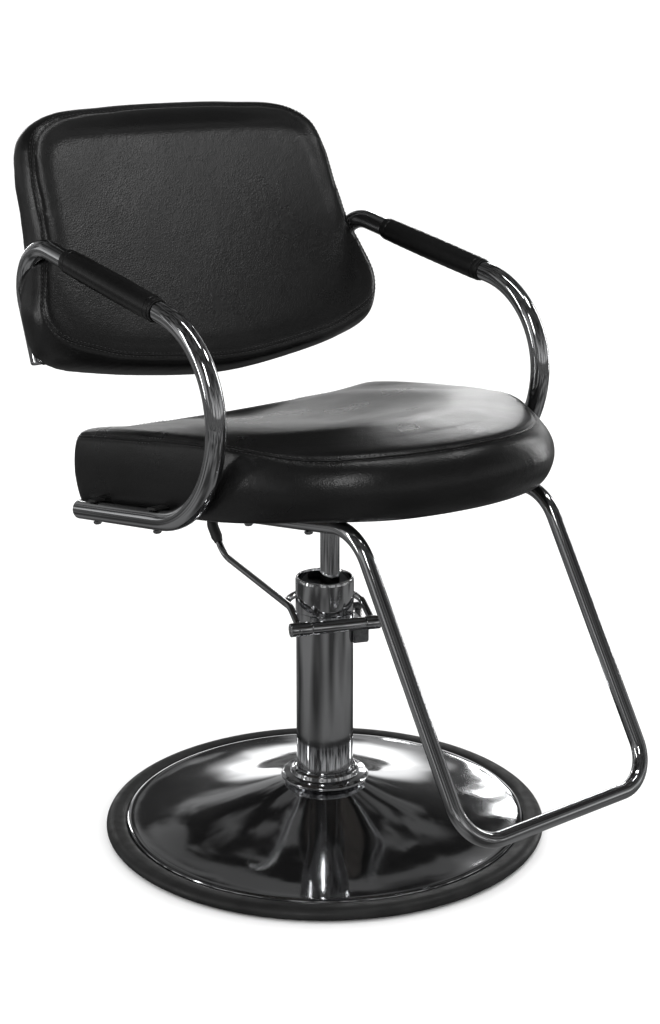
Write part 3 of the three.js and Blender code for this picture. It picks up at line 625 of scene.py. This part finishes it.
def foot_path():
    depth = BOARD_T + GAP + FOOT_R
    slope = math.tan(SEAT_TILT)
    knee_z = (below_seat(FOOT_Y, depth) + FOOT_LEAN * FOOT_Z * slope) / (1 + FOOT_LEAN * slope)
    knee_y = FOOT_Y + FOOT_LEAN * (knee_z - FOOT_Z)

    def side(sign):
        return [
            (sign * FOOT_X, FOOT_REAR_Y, below_seat(FOOT_REAR_Y, depth), 0),
            (sign * FOOT_X, knee_y, knee_z, 62),
            (sign * FOOT_X, FOOT_Y, FOOT_Z, 52),
        ]

    return bent_path(side(-1) + list(reversed(side(1))))


def arm_path(x):
    depth = ARM_R + GAP
    lean = math.tan(BACK_TILT)
    behind = BACK_Y + (ARM_R + GAP) / math.cos(BACK_TILT) - ARM_RECESS - lean * BACK_Z
    top_z = (ARMREST_Z + ARMREST_SLOPE * behind) / (1 - ARMREST_SLOPE * lean)
    return bent_path(
        [
            (x, ARM_REAR_Y, below_seat(ARM_REAR_Y, depth), 0),
            (x, ARM_FRONT_Y, below_seat(ARM_FRONT_Y, depth), 138),
            (x, ARM_FRONT_Y, ARMREST_Z + ARMREST_SLOPE * ARM_FRONT_Y, 122),
            (x, behind + lean * top_z, top_z, 57),
            (x, behind + lean * ARM_FOOT_Z, ARM_FOOT_Z, 0),
        ]
    )


HEAD_R, HEAD_H = 5.5, 4.0
# A pan head's outline with a hexagon socket, as shares of its radius and height.
HEAD_SHARES = ((1, 0), (1, 0.35), (0.86, 0.8), (0.6, 1), (0.42, 1), (0.42, 0.45), (0, 0.45))


def bolt_head():
    return turned([(0, 0)] + [(HEAD_R * r, -HEAD_H * z) for r, z in HEAD_SHARES], 32)


def place_bolts(spots, matrix, nodes):
    for (x, y, z, turn), node in zip(spots, nodes):
        bm = moved(bolt_head(), Matrix.Translation((x, y, z)) @ turn)
        place(node + "_head", bm, ZINC, "seat", matrix, [node])


PLUG = ((0, -1, 0), (ARM_R - 0.4, -1, 0), (ARM_R + 0.1, 1.0, 0.5), (ARM_R - 1.6, 3.4, 2), (0, 4.5, 0))
SLEEVE_STEPS = 40
SLEEVE_END = ((ARM_R + GAP, 0, 0), (14.4, 0, 0.6), (14.4, 4, 0.2), (15.5, 4.6, 0.5), (15.5, 10.5, 0.5))
SLEEVE_END += ((14.9, 11.3, 0.3), (SLEEVE_R, 13, 0.8))


def build_tubes():
    place("footrest", swept(foot_path(), FOOT_R, 40), CHROME, "seat", replaces=["footrest_tube"])
    upright = Matrix.Identity(4)
    depth = -(BOARD_T + GAP + 2 * FOOT_R + GAP)
    spots = [(sign * FOOT_X, y, depth, upright) for y in FOOT_BOLT_YS for sign in (-1, 1)]
    place_bolts(spots, SEAT, [f"footrest_bolt_{i}" for i in range(1, 5)])
    for side, sign in (("right", -1), ("left", 1)):
        x = sign * ARM_X
        path = arm_path(x)
        place(f"arm_{side}", swept(path, ARM_R, 48), CHROME, "seat", replaces=[f"arm_tube_{side}"])
        spots = [(x, y, -2 * ARM_R - 2 * GAP, upright) for y in ARM_BOLT_YS]
        place_bolts(spots, SEAT, [f"arm_bolt_{side}_1", f"arm_bolt_{side}_2"])

        # Domed plugs with a thin flange close the tube's ends.
        along = tangents(path)
        for where, point, outward in (("seat", path[0], -along[0]), ("back", path[-1], along[-1])):
            plug = turned(filleted(PLUG), 48)
            turn = Vector((0, 0, 1)).rotation_difference(outward).to_matrix().to_4x4()
            moved(plug, Matrix.Translation(point) @ turn)
            place(f"plug_{where}_{side}", plug, CHROME, "seat", replaces=[f"arm_cap_{where}_{side}"])

        # The padded sleeve: a stepped band at each end, a slight swell between and a seam underneath.
        front, rear = (Vector((x, y, ARMREST_Z + ARMREST_SLOPE * y)) for y in SLEEVE_YS)
        length = (rear - front).length
        half = filleted(SLEEVE_END, 4)
        middle = []
        for i in range(1, SLEEVE_STEPS):
            share = i / SLEEVE_STEPS
            swell = 0.5 * math.sin(math.pi * share) + 0.12 * math.sin(i * 1.9)
            middle.append((SLEEVE_R + swell, lerp(14, length - 14, share)))
        profile = half + middle + [(r, length - z) for r, z in reversed(half)]
        bm = turned(profile, 64)
        for vert in bm.verts:
            if vert.co.y > ARM_R + 1:
                vert.co.y -= 0.5 * math.exp(-((vert.co.x / 1.3) ** 2))
        turn = Vector((0, 0, 1)).rotation_difference(rear - front).to_matrix().to_4x4()
        moved(bm, Matrix.Translation(front) @ turn)
        place(f"sleeve_{side}", bm, SLEEVE_VINYL, "seat", replaces=[f"arm_sleeve_{side}"])


# ---- cushions
VOXEL = 5.0 * MM
CLOTH = {"quality": 4, "mass": 0.4, "tension_stiffness": 12, "compression_stiffness": 12}
CLOTH["bending_stiffness"] = 2.0
CLOTH_FRAMES, EVENINGS, RELAXINGS, RELAX_FACTOR = 20, 24, 4, 0.5
# How many times a rail is evened out, a seam's spacing in mm, and the half width that is held at it.
RAIL_EVENINGS, SEAM_SPACING, SEAM_HELD = 10, 2.0, 4


def remeshed(bm):
    """The bmesh, in mm, as an evenly meshed object in metres."""
    bmesh.ops.recalc_face_normals(bm, faces=bm.faces)
    piece = as_object("pad_blank", bm)
    modifier = piece.modifiers.new("even", "REMESH")
    modifier.mode = "VOXEL"
    modifier.voxel_size = VOXEL
    apply_modifiers(piece)
    return piece


def apply_modifiers(piece):
    graph = bpy.context.evaluated_depsgraph_get()
    result = bpy.data.meshes.new_from_object(piece.evaluated_get(graph))
    piece.modifiers.clear()
    old = piece.data
    piece.data = result
    bpy.data.meshes.remove(old)


def spread(piece, steps, times):
    """Averages a vector for each vertex with its neighbours', times over."""
    mesh = piece.data
    ends = np.empty(2 * len(mesh.edges), dtype=np.int64)
    mesh.edges.foreach_get("vertices", ends)
    first, second = ends[0::2], ends[1::2]
    degree = np.maximum(1, np.bincount(ends, minlength=len(mesh.vertices)))[:, None]
    for _ in range(times):
        total = np.zeros_like(steps)
        np.add.at(total, first, steps[second])
        np.add.at(total, second, steps[first])
        steps = (steps + total / degree) / 2
    return steps


def inflate(piece, held, pressure, most):
    """Cloth simulation under inner pressure. The cover is fixed where held(point) is true, and most caps the
    movement, which is then spread over the cover to take out the small buckles."""
    group = piece.vertex_groups.new(name="held")
    start = [vert.co.copy() for vert in piece.data.vertices]
    for i, point in enumerate(start):
        if held(point / MM):
            group.add([i], 1.0, "REPLACE")
    cloth = piece.modifiers.new("cover", "CLOTH")
    for setting, value in CLOTH.items():
        setattr(cloth.settings, setting, value)
    cloth.settings.use_pressure = True
    cloth.settings.uniform_pressure_force = pressure
    cloth.settings.vertex_group_mass = "held"
    cloth.settings.effector_weights.gravity = 0
    cloth.collision_settings.use_collision = False
    cloth.point_cache.frame_start = 1
    cloth.point_cache.frame_end = CLOTH_FRAMES
    scene = bpy.context.scene
    for number in range(1, CLOTH_FRAMES + 1):
        scene.frame_set(number)
    graph = bpy.context.evaluated_depsgraph_get()
    swollen = piece.evaluated_get(graph).to_mesh()
    steps = np.array([after.co - before for after, before in zip(swollen.vertices, start)])
    piece.evaluated_get(graph).to_mesh_clear()
    piece.modifiers.clear()
    scene.frame_set(1)
    lengths = np.maximum(1e-9, np.linalg.norm(steps, axis=1))[:, None]
    steps *= np.minimum(1, most * MM / lengths)
    for vert, before, step in zip(piece.data.vertices, start, spread(piece, steps, EVENINGS)):
        vert.co = before + Vector(step)


def relax(piece):
    modifier = piece.modifiers.new("smooth", "SMOOTH")
    modifier.factor = RELAX_FACTOR
    modifier.iterations = RELAXINGS
    apply_modifiers(piece)


def nearest_on(points):
    """A search tree over a list of points in metres."""
    tree = KDTree(len(points))
    for i, point in enumerate(points):
        tree.insert(point, i)
    tree.balance()
    return tree


def make_room(piece, path, radius, matrix):
    """Pushes the cover away from a tube, so that it lies against it in a groove."""
    inverse = matrix.inverted()
    dense = [inverse @ (p * MM) for a, b in zip(path, path[1:]) for p in (a, a.lerp(b, 0.5))]
    tree = nearest_on(dense)
    for vert in piece.data.vertices:
        point, _, distance = tree.find(vert.co)
        if distance < radius * MM:
            away = (vert.co - point).normalized()
            vert.co = point + away * radius * MM


def groove(piece, line, width, depth):
    """Sinks the cover along a line of points in metres."""
    tree = nearest_on(line)
    normals = [vert.normal.copy() for vert in piece.data.vertices]
    for vert, normal in zip(piece.data.vertices, normals):
        distance = tree.find(vert.co)[2] / MM
        if distance < 3 * width:
            vert.co -= normal * depth * MM * math.exp(-((distance / width) ** 2))


def on_surface(piece, line):
    """The closed line's points moved onto the piece and evened out, each with the surface normal there."""
    tree = BVHTree.FromObject(piece, bpy.context.evaluated_depsgraph_get())
    out = [tree.find_nearest(point)[:2] for point in line]
    for _ in range(RAIL_EVENINGS):
        ring = list(zip(out[-1:] + out[:-1], out, out[1:] + out[:1]))
        out = [((a[0] + 2 * b[0] + c[0]) / 4, (a[1] + 2 * b[1] + c[1]).normalized()) for a, b, c in ring]
    return out


def even(points, spacing):
    """Points a fixed distance apart along a closed line, in the line's own units."""
    out, carry = [], 0.0
    for a, b in zip(points, points[1:] + points[:1]):
        length = (b - a).length
        along = carry
        while along < length:
            out.append(a.lerp(b, along / length))
            along += spacing
        carry = along - length
    return out


STITCH_PITCH, STITCH_LENGTH, THREAD_R, STITCH_RISE = 4.2, 2.8, 0.33, 0.28


def stitches(name, rail, matrix, offset):
    """A row of short thread stitches at an offset from a rail of (point, normal) pairs, in metres."""
    bm = bmesh.new()
    points = [p for p, _ in rail]
    count = len(points)
    travelled = 0.0
    for i in range(count):
        point, normal = rail[i]
        ahead = points[(i + 1) % count]
        step = (ahead - point).length
        travelled += step
        if travelled < STITCH_PITCH * MM or step < 1e-7:
            continue
        travelled = 0.0
        along = (ahead - point).normalized()
        sideways = normal.cross(along).normalized()
        centre = (point + sideways * offset * MM + normal * 0.25 * MM) / MM
        arc = []
        for t in (-0.5, -0.25, 0, 0.25, 0.5):
            arc.append(centre + along * STITCH_LENGTH * t + normal * STITCH_RISE * (1 - (2 * t) ** 2))
        swept(arc, [THREAD_R * 0.5, THREAD_R, THREAD_R, THREAD_R, THREAD_R * 0.5], 6, bm)
    place(name, bm, THREAD, "seat", matrix, sharp=80)


PIPING_SIDES, PAD_FILL = 10, 0.8
# Each pad's seam, mm: its furrow's width and depth, its welt's radius, and each stitch row's distance from it.
SEWING = {
    "seat": ((2.4, 1.6), 1.1, {"upper": 3.4, "lower": -3.4}),
    "back": ((2.0, 1.1), 0.7, {"inner": 2.6, "outer": -2.6}),
}
PUFF = {"seat": (3.5, 6), "back": (2.5, 4)} # each pad's inner pressure, and how many mm its cover may move


def piping(name, rail, matrix, radius):
    """A closed round cord laid along a rail of (point, normal) pairs, about half sunk in the cover."""
    points = [(p + n * radius * 0.15 * MM) / MM for p, n in rail]
    count = len(points)
    rings = []
    for i, point in enumerate(points):
        along = (points[(i + 1) % count] - points[i - 1]).normalized()
        normal = rail[i][1]
        side = along.cross(normal).normalized()
        rings.append(circle(point, side, side.cross(along), radius, PIPING_SIDES))
    place(name, loft(rings, closed=True), VINYL, "seat", matrix, sharp=80)


def finish_pad(pad, part, matrix, seam, held):
    """Puffs up a pad, held at its seam, a line of points in metres, and where held(point in mm) is true.
    Then fits it round the arm tubes, sews the seam and hands it over."""
    tree = nearest_on(seam)
    inflate(pad, lambda p: held(p) or tree.find(p * MM)[2] / MM < SEAM_HELD, *PUFF[part])
    relax(pad)
    for x in (-ARM_X, ARM_X):
        make_room(pad, arm_path(x), ARM_R + 0.5, matrix)
    furrow, welt, rows = SEWING[part]
    groove(pad, [p for p, _ in on_surface(pad, seam)], *furrow)
    rail = on_surface(pad, seam)
    for row, offset in rows.items():
        stitches(f"{part}_stitches_{row}", rail, matrix, offset)
    piping(f"{part}_welt", rail, matrix, welt)
    modifier = pad.modifiers.new("fine", "SUBSURF")
    modifier.levels = 1
    modifier.render_levels = 1
    apply_modifiers(pad)
    pad.name = f"{part}_pad"
    pad.data.name = pad.name
    pad.data.transform(matrix)
    pad.data.materials.clear()
    pad.data.materials.append(VINYL)
    for polygon in pad.data.polygons:
        polygon.use_smooth = True
    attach(pad, "seat")
    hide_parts(f"{part}_cushion")


# The seat, in its own frame: x across, y back, z up from the top of its board.
SEAT_HALF, SEAT_REAR_HALF, SEAT_REAR, SEAT_NOSE_Y, SEAT_NOSE = 250, 260, 206, -72, 251
SEAT_CORNER, SEAT_POINTS, NOSE_STEPS, CORNER_STEPS = 13, 160, 60, 8
JUST_OVER = 1.0000001 # so that rounding adds no point
SEAT_MIDDLE = Vector((0, -40, 0))
SEAM_INSET = 6.0
SEAT_BULGE = 7 # how far the boxing stands out between its edges
NOSE_PULL = 13 # how far those are pulled in round the nose
CROWN_R = 242 # of the front part's rounded top
# Rings from the lower edge to the seam, and on over the top to the middle.
BOXING_SHARES = (0.0, 0.08, 0.2, 0.35, 0.5, 0.65, 0.8, 0.92, 1.0)
TOP_SHARES = (0.985, 0.955, 0.91, 0.85, 0.75, 0.62, 0.48, 0.34, 0.2, 0.08, 0.02)
# Under the seat the cover turns in and steps up inside the board's edge: share of the way out, and rise.
UNDER_SHARES = ((0.02, 7), (0.5, 7), (0.87, 7), (0.895, 0), (0.97, -0.8))


def seat_ring(inset, height):
    """The seat's outline at an inset, with a height for each point from height(x, y)."""
    half, rear_half = SEAT_HALF - inset, SEAT_REAR_HALF - inset
    rear, nose = SEAT_REAR - inset, SEAT_NOSE - inset
    radius = max(3.0, SEAT_CORNER - inset * 0.3)
    line = []
    for i in range(NOSE_STEPS + 1):
        angle = math.pi + math.pi * i / NOSE_STEPS
        line.append(Vector((half * math.cos(angle), SEAT_NOSE_Y + nose * math.sin(angle), 0)))
    for sign, start in ((1, 0), (-1, math.pi / 2)):
        corner = Vector((sign * (rear_half - radius), rear - radius, 0))
        for i in range(CORNER_STEPS + 1):
            angle = math.pi / 2 * i / CORNER_STEPS + start
            line.append(corner + Vector((radius * math.cos(angle), radius * math.sin(angle), 0)))
    length = sum((line[i] - line[i - 1]).length for i in range(len(line)))
    points = even(line, length / SEAT_POINTS * JUST_OVER)[:SEAT_POINTS]
    while len(points) < SEAT_POINTS:
        points.append(points[-1].lerp(line[0], 0.5))
    return [Vector((p.x, p.y, height(p.x, p.y))) for p in points]


def seam_height(y):
    return lerp(82, 59, smoothstep(-95, -240, y))


def seat_top(x, y):
    """Height of the top: a hollow that deepens to the rear, and a crown that rolls over in front."""
    out = abs(x) / SEAT_HALF
    hollow = 66 + 25 * out**1.35 + 6 * math.exp(-(((y - 90) / 90) ** 2)) * out**2
    away = math.hypot(x, min(0, y - SEAT_NOSE_Y)) / CROWN_R
    crown = 60 + 22 * math.sqrt(max(0.0, 1 - min(1, away) ** 2)) + 6 * out**2
    return lerp(hollow, crown, smoothstep(-20, -210, y))


def boxing_ring(share):
    """One ring of the boxing, from the lower edge at share 0 to the seam at share 1. Its edges are pulled in
    round the nose, where it bulges most."""
    swell = math.sin(math.pi * share) ** 0.7

    def height(x, y):
        low = -BOARD_T - 5 * smoothstep(-215, -300, y)
        return lerp(low, seam_height(y), share)

    out = []
    for p in seat_ring(lerp(5, SEAM_INSET, share) + 1 - SEAT_BULGE * swell, height):
        away = Vector((p.x, p.y - SEAT_NOSE_Y, 0))
        if p.y < SEAT_NOSE_Y and away.length > 1:
            p = p - away.normalized() * NOSE_PULL * smoothstep(-60, -230, p.y) * (1 - swell)
        out.append(p)
    return out


def build_seat():
    rings = [boxing_ring(share) for share in BOXING_SHARES]
    seam = rings[-1]
    for share in TOP_SHARES:
        roll = 1 - math.exp(-(1 - share) / 0.035)
        ring = []
        for p in seam:
            x, y = lerp(SEAT_MIDDLE.x, p.x, share), lerp(SEAT_MIDDLE.y, p.y, share)
            ring.append(Vector((x, y, lerp(p.z + 1, seat_top(x, y), roll))))
        rings.append(ring)
    under = []
    for share, rise in UNDER_SHARES:
        ring = [SEAT_MIDDLE.lerp(p, share) for p in rings[0]]
        under.append([Vector((q.x, q.y, p.z + rise)) for p, q in zip(rings[0], ring)])
    pad = remeshed(loft(under + rings))
    seam_line = [p * MM for p in even(seam, SEAM_SPACING)]
    finish_pad(pad, "seat", SEAT, seam_line, lambda p: p.z < 4 - BOARD_T)


# The backrest, in its own frame: x across, y towards the rear (0 is its rear face), z up along it.
# One half of its outline, x and z, from the middle of the bottom to the middle of the top.
BACK_HALF = ((0, -116), (110, -107), (206, -90), (266, -65), (284, -16), (273, 32), (259, 78))
BACK_HALF += ((254, 125), (250, 178), (236, 224), (195, 249), (100, 258), (0, 260))
BACK_MIDDLE = Vector((0, 0, 77))
BACK_FLARE = 9 # how far the lower corners stand out at the rear, where the tubes end
CORNER_TUCK = 4 # how far the front is drawn in at those corners
# The edge from the rear face to the front: inset, and share of the thickness.
EDGE_RINGS = ((1.5, 0.0), (-0.5, 0.12), (-2.2, 0.35), (-2.6, 0.55), (-1.2, 0.75), (1.5, 0.88))
# How far the panel lies behind the roll round it, at its middle and at its sides.
ROLL_DROP, ROLL_DROP_SIDE, PANEL_HALF, ROLL_WIDTH = 17, 6, 235, 38
ROLL_INSETS = (5.5, 9, 13, 18, 23, 28, 33, ROLL_WIDTH)
PANEL_SHARES = (0.94, 0.86, 0.76, 0.64, 0.5, 0.35, 0.2, 0.04)
REAR_SHARES = (0.03, 0.35, 0.7, 0.92)
# The rear cover's edge, inset and height off the board, and its face, share and height.
COVER_RINGS = ((33, -0.4), (31.5, 0.8), (32.5, 2.4), (36, 3.4), (48, 4.2), (80, 5.0))
COVER_SHARES = (0.7, 0.4, 0.1)


def closed_spline(points, steps=12):
    """A centripetal Catmull-Rom curve through a closed ring of points."""
    count = len(points)
    out = []
    for i in range(count):
        # Each stretch runs from p1 to p2, with knots spaced by the square root of the points' distances.
        p0, p1, p2, p3 = (points[(i + k - 1) % count] for k in range(4))
        t1 = (p1 - p0).length ** 0.5
        t2 = t1 + (p2 - p1).length ** 0.5
        t3 = t2 + (p3 - p2).length ** 0.5
        for k in range(steps):
            t = lerp(t1, t2, k / steps)
            share = (t - t1) / (t2 - t1)
            a1, a2, a3 = p0.lerp(p1, t / t1), p1.lerp(p2, share), p2.lerp(p3, (t - t2) / (t3 - t2))
            b1, b2 = a1.lerp(a2, t / t2), a2.lerp(a3, (t - t1) / (t3 - t1))
            out.append(b1.lerp(b2, share))
    return out


def lower_corner(x, z):
    """1 at the backrest's two lower corners and 0 away from them."""
    return smoothstep(175, 250, abs(x)) * smoothstep(-15, -60, z)


def back_ring(inset, depth, flare=0):
    """The backrest's outline at an inset, with a depth in front of its rear face from depth(x, z). Its lower
    corners stand out by flare."""
    half = [Vector((x, 0, z)) for x, z in BACK_HALF]
    line = closed_spline(half + [Vector((-p.x, 0, p.z)) for p in reversed(half[1:-1])])
    out = []
    for i, p in enumerate(line):
        along = (line[(i + 1) % len(line)] - line[i - 1]).normalized()
        inward = Vector((along.z, 0, -along.x))
        if inward.dot(BACK_MIDDLE - p) < 0:
            inward = -inward
        q = p + inward * (inset - flare * lower_corner(p.x, p.z))
        out.append(Vector((q.x, -depth(q.x, q.z), q.z)))
    return out


def back_depth(z):
    """How thick the backrest is at its edge: thinner towards the top."""
    return 54 * (1 - 0.127 * (z - 70) / 100)


def back_front(x, z, inset):
    """Depth of the front face: a roll along the top and sides, and a panel inside it that comes forward to
    meet the plain bottom edge."""
    edge = back_depth(z)
    low = min(1.0, max(0.0, (205 - z) / 318))
    middle = max(0.0, 1 - (x / PANEL_HALF) ** 2)
    drop = lerp(ROLL_DROP_SIDE, ROLL_DROP, middle) * (1 - low**2)
    panel = edge - drop
    crest = edge + 2 * (1 - low) - 6 * math.exp(-inset / 7)
    return lerp(crest, panel, smoothstep(3, ROLL_WIDTH, inset))


def back_seam(z):
    """Inset of the seam: near the edge, and higher up the front along the bottom."""
    return lerp(6, 17, smoothstep(-30, -80, z))


def front_ring(inset):
    return back_ring(inset, lambda x, z: back_front(x, z, inset), -CORNER_TUCK)


def build_back():
    rings = []
    for inset, share in EDGE_RINGS:
        flare = BACK_FLARE * (1 - share) ** 0.7 - CORNER_TUCK
        rings.append(back_ring(inset, lambda x, z: share * (back_depth(z) - 5), flare))
    rings += [front_ring(inset) for inset in ROLL_INSETS]
    inner = rings[-1]
    for share in PANEL_SHARES:
        ring = []
        for p in inner:
            x, z = p.x * share, lerp(BACK_MIDDLE.z, p.z, share)
            ring.append(Vector((x, -back_front(x, z, ROLL_WIDTH), z)))
        rings.append(ring)
    rear = [[BACK_MIDDLE.lerp(p, share) for p in rings[0]] for share in REAR_SHARES]
    pad = remeshed(loft(rear + rings))
    insets = [back_seam(p.z) for p in back_ring(0, lambda x, z: 0)]
    seams = {inset: front_ring(inset) for inset in set(insets)}
    seam_line = [p * MM for p in even([seams[inset][i] for i, inset in enumerate(insets)], SEAM_SPACING)]
    finish_pad(pad, "back", BACK, seam_line, lambda p: p.y > -3)

    # The rear cover is a thin padded panel between the arm tubes.
    cover = [back_ring(inset, lambda x, z: -out) for inset, out in COVER_RINGS]
    middle = Vector((0, COVER_RINGS[-1][1], BACK_MIDDLE.z))
    for share in COVER_SHARES:
        crown = Vector((0, 1.2 * (1 - share), 0))
        cover.append([middle.lerp(p, share) + crown for p in cover[len(COVER_RINGS) - 1]])
    place("rear_panel", loft(cover), VINYL, "seat", BACK, ["back_cover"])
    reach = 2 * ARM_R + 3 * GAP - ARM_RECESS
    turn = Matrix.Rotation(math.pi / 2, 4, "X")
    spots = [(sign * BACK_BOLT_X, reach, z, turn) for z in BACK_BOLT_ZS for sign in (-1, 1)]
    place_bolts(spots, BACK, [f"back_bolt_{i}" for i in range(1, 5)])


# ---- CAD nodes that stay
def dress_nodes():
    slots = {entry["node"]: entry["material_slot"] for entry in frame["record"]["subparts"]}
    for name, piece in frame["nodes"].items():
        piece.data.materials.clear()
        piece.data.materials.append(NODE_MATERIAL[slots[name]])


# ---- floor, light and camera
SKY_STRENGTH = 1.6
# The studio's grey by height, from straight down at 0 over the horizon at 0.5 to straight up at 1.
STUDIO_GREYS = ((0, 0.10), (0.46, 0.12), (0.51, 0.30), (0.58, 0.24), (0.66, 0.13), (0.76, 0.04), (1, 0.04))
GLOW_TOWARD = Vector((0.65, 0.75, 0.10)).normalized()
GLOW_STRENGTH = 1.25
GLOW_SPAN = (0.78, 0.97) # cosines of the angles from its middle where it has faded and where it is full
GLOW_TOP = (0.08, 0.22) # heights between which it fades upwards
PANELS = (0.30, 2.3) # the darkest and brightest of the upright panels round the studio, as shares of its grey
PANEL_SCALE, PANEL_STRETCH, PANEL_EDGES = 11, (1, 1, 0.15), (0.44, 0.56)
FLOOR_GREYS = (0.025, 0.12) # the floor's darkest and lightest patch as the chrome sees it
FLOOR_HALF, FLOOR_Z = 30000, -0.5 # its half width and height in mm


def build_floor():
    """A pale floor, much darker where polished pieces mirror it."""
    floor = Material("floor_pale", grey(0.82), 0.6)
    floor.tinted(floor.noise(3, 3), grey(0.80), grey(0.84))
    dim = floor.node("ShaderNodeBsdfDiffuse")
    floor.link(floor.ranged(floor.noise(1.6, 1), *FLOOR_GREYS, 0.4, 0.6), dim.inputs["Color"])
    floor.swapped_for_gloss(floor.shader, dim, "Material Output")
    bm = bmesh.new()
    bmesh.ops.create_grid(bm, x_segments=1, y_segments=1, size=FLOOR_HALF)
    piece = as_object("floor", bm)
    piece.data.materials.append(floor.data)
    piece.location.z = FLOOR_Z * MM


def build_sky():
    """An even white sky. Polished and glossy pieces see a dim studio in its place."""
    world = bpy.data.worlds.new("studio")
    bpy.context.scene.world = world
    world.use_nodes = True
    world.cycles.sampling_method = "NONE"
    sky = Nodes(world.node_tree, "Generated")
    split = sky.node("ShaderNodeSeparateXYZ")
    sky.link(sky.place, split.inputs["Vector"])
    height = split.outputs["Z"]
    ramp = sky.node("ShaderNodeValToRGB")
    elements = ramp.color_ramp.elements
    while len(elements) < len(STUDIO_GREYS):
        elements.new(0.5)
    for element, (level, value) in zip(elements, STUDIO_GREYS):
        element.position = level
        element.color = (*grey(value), 1)
    sky.link(sky.ranged(height, 0, 1, -1, 1), ramp.inputs["Fac"])

    def combined(operation, first, second):
        made = sky.node("ShaderNodeVectorMath")
        made.operation = operation
        sky.link(first, made.inputs[0])
        sky.link(second, made.inputs[1])
        return made.outputs["Vector"]

    # Brighter and darker panels stand round the studio.
    panels = sky.noise(PANEL_SCALE, 3, sky.stretched(PANEL_STRETCH))
    panels = sky.ranged(panels, *PANELS, *PANEL_EDGES, smooth=True)
    greys = combined("MULTIPLY", ramp.outputs["Color"], panels)

    # A wide glow stands low in one direction.
    near = sky.node("ShaderNodeVectorMath")
    near.operation = "DOT_PRODUCT"
    near.inputs[1].default_value = GLOW_TOWARD
    sky.link(sky.place, near.inputs[0])
    glow = sky.ranged(near.outputs["Value"], 0, GLOW_STRENGTH, *GLOW_SPAN, smooth=True)
    glow = combined("MULTIPLY", glow, sky.ranged(height, 1, 0, *GLOW_TOP, smooth=True))
    dim = sky.node("ShaderNodeBackground")
    sky.link(combined("ADD", greys, glow), dim.inputs["Color"])
    background = sky.tree.nodes["Background"]
    background.inputs["Color"].default_value = (1, 1, 1, 1)
    background.inputs["Strength"].default_value = SKY_STRENGTH
    sky.swapped_for_gloss(background, dim, "World Output")


# Each light: name, place, what it points at, its two sides and its watts.
MIDDLE = (0, 0, 0.45)
LIGHTS = (
    ("overhead", (0.1, -0.3, 3.0), MIDDLE, (0.22, 1.4), 9),
    ("key", (-1.9, -1.6, 2.2), MIDDLE, (0.35, 0.9), 10),
    ("front_right", (0.64, -0.58, 1.75), (0, 0.2, 0.85), (0.36, 0.2), 1.8),
    ("window_right", (2.5, -0.1, 0.95), MIDDLE, (0.16, 1.5), 8),
    ("window_left", (-2.4, 0.9, 1.2), MIDDLE, (0.16, 1.6), 8),
    ("back_left", (0.6, 3.1, 1.1), MIDDLE, (0.14, 0.8), 2.5),
    ("back_window_low", (2.35, 2.1, 1.12), (0, 0, 0.05), (0.6, 0.12), 2.2),
    ("back_window_high", (2.35, 2.1, 1.42), (0, 0, 0.05), (0.6, 0.12), 2.2),
)


def area_light(name, place_at, target, size, watts):
    data = bpy.data.lights.new(name, "AREA")
    data.shape = "RECTANGLE"
    data.size, data.size_y = size
    data.energy = watts
    lamp = bpy.data.objects.new(name, data)
    lamp.location = place_at
    lamp.rotation_euler = (Vector(target) - Vector(place_at)).to_track_quat("-Z", "Y").to_euler()
    lamp.visible_camera = False
    bpy.context.collection.objects.link(lamp)


AZIMUTH, ELEVATION, DISTANCE = math.radians(-39.13), math.radians(15.70), 2.4381
LENS, SENSOR = 64.92, 36
AIM = Vector((0.0055, -0.0045, 0.4416))


def build_camera():
    level = math.cos(ELEVATION)
    back = Vector((math.sin(AZIMUTH) * level, -math.cos(AZIMUTH) * level, math.sin(ELEVATION)))
    data = bpy.data.cameras.new("camera")
    data.lens = LENS
    data.sensor_width = SENSOR
    camera = bpy.data.objects.new("camera", data)
    camera.location = AIM + back * DISTANCE
    camera.rotation_euler = (-back).to_track_quat("-Z", "Y").to_euler()
    bpy.context.collection.objects.link(camera)
    bpy.context.scene.camera = camera


bpy.context.scene.view_settings.view_transform = "Standard"
build_camera()
build_floor()
build_sky()
for light in LIGHTS:
    area_light(*light)
dress_nodes()
build_base()
build_lever()
build_tubes()
build_seat()
build_back()
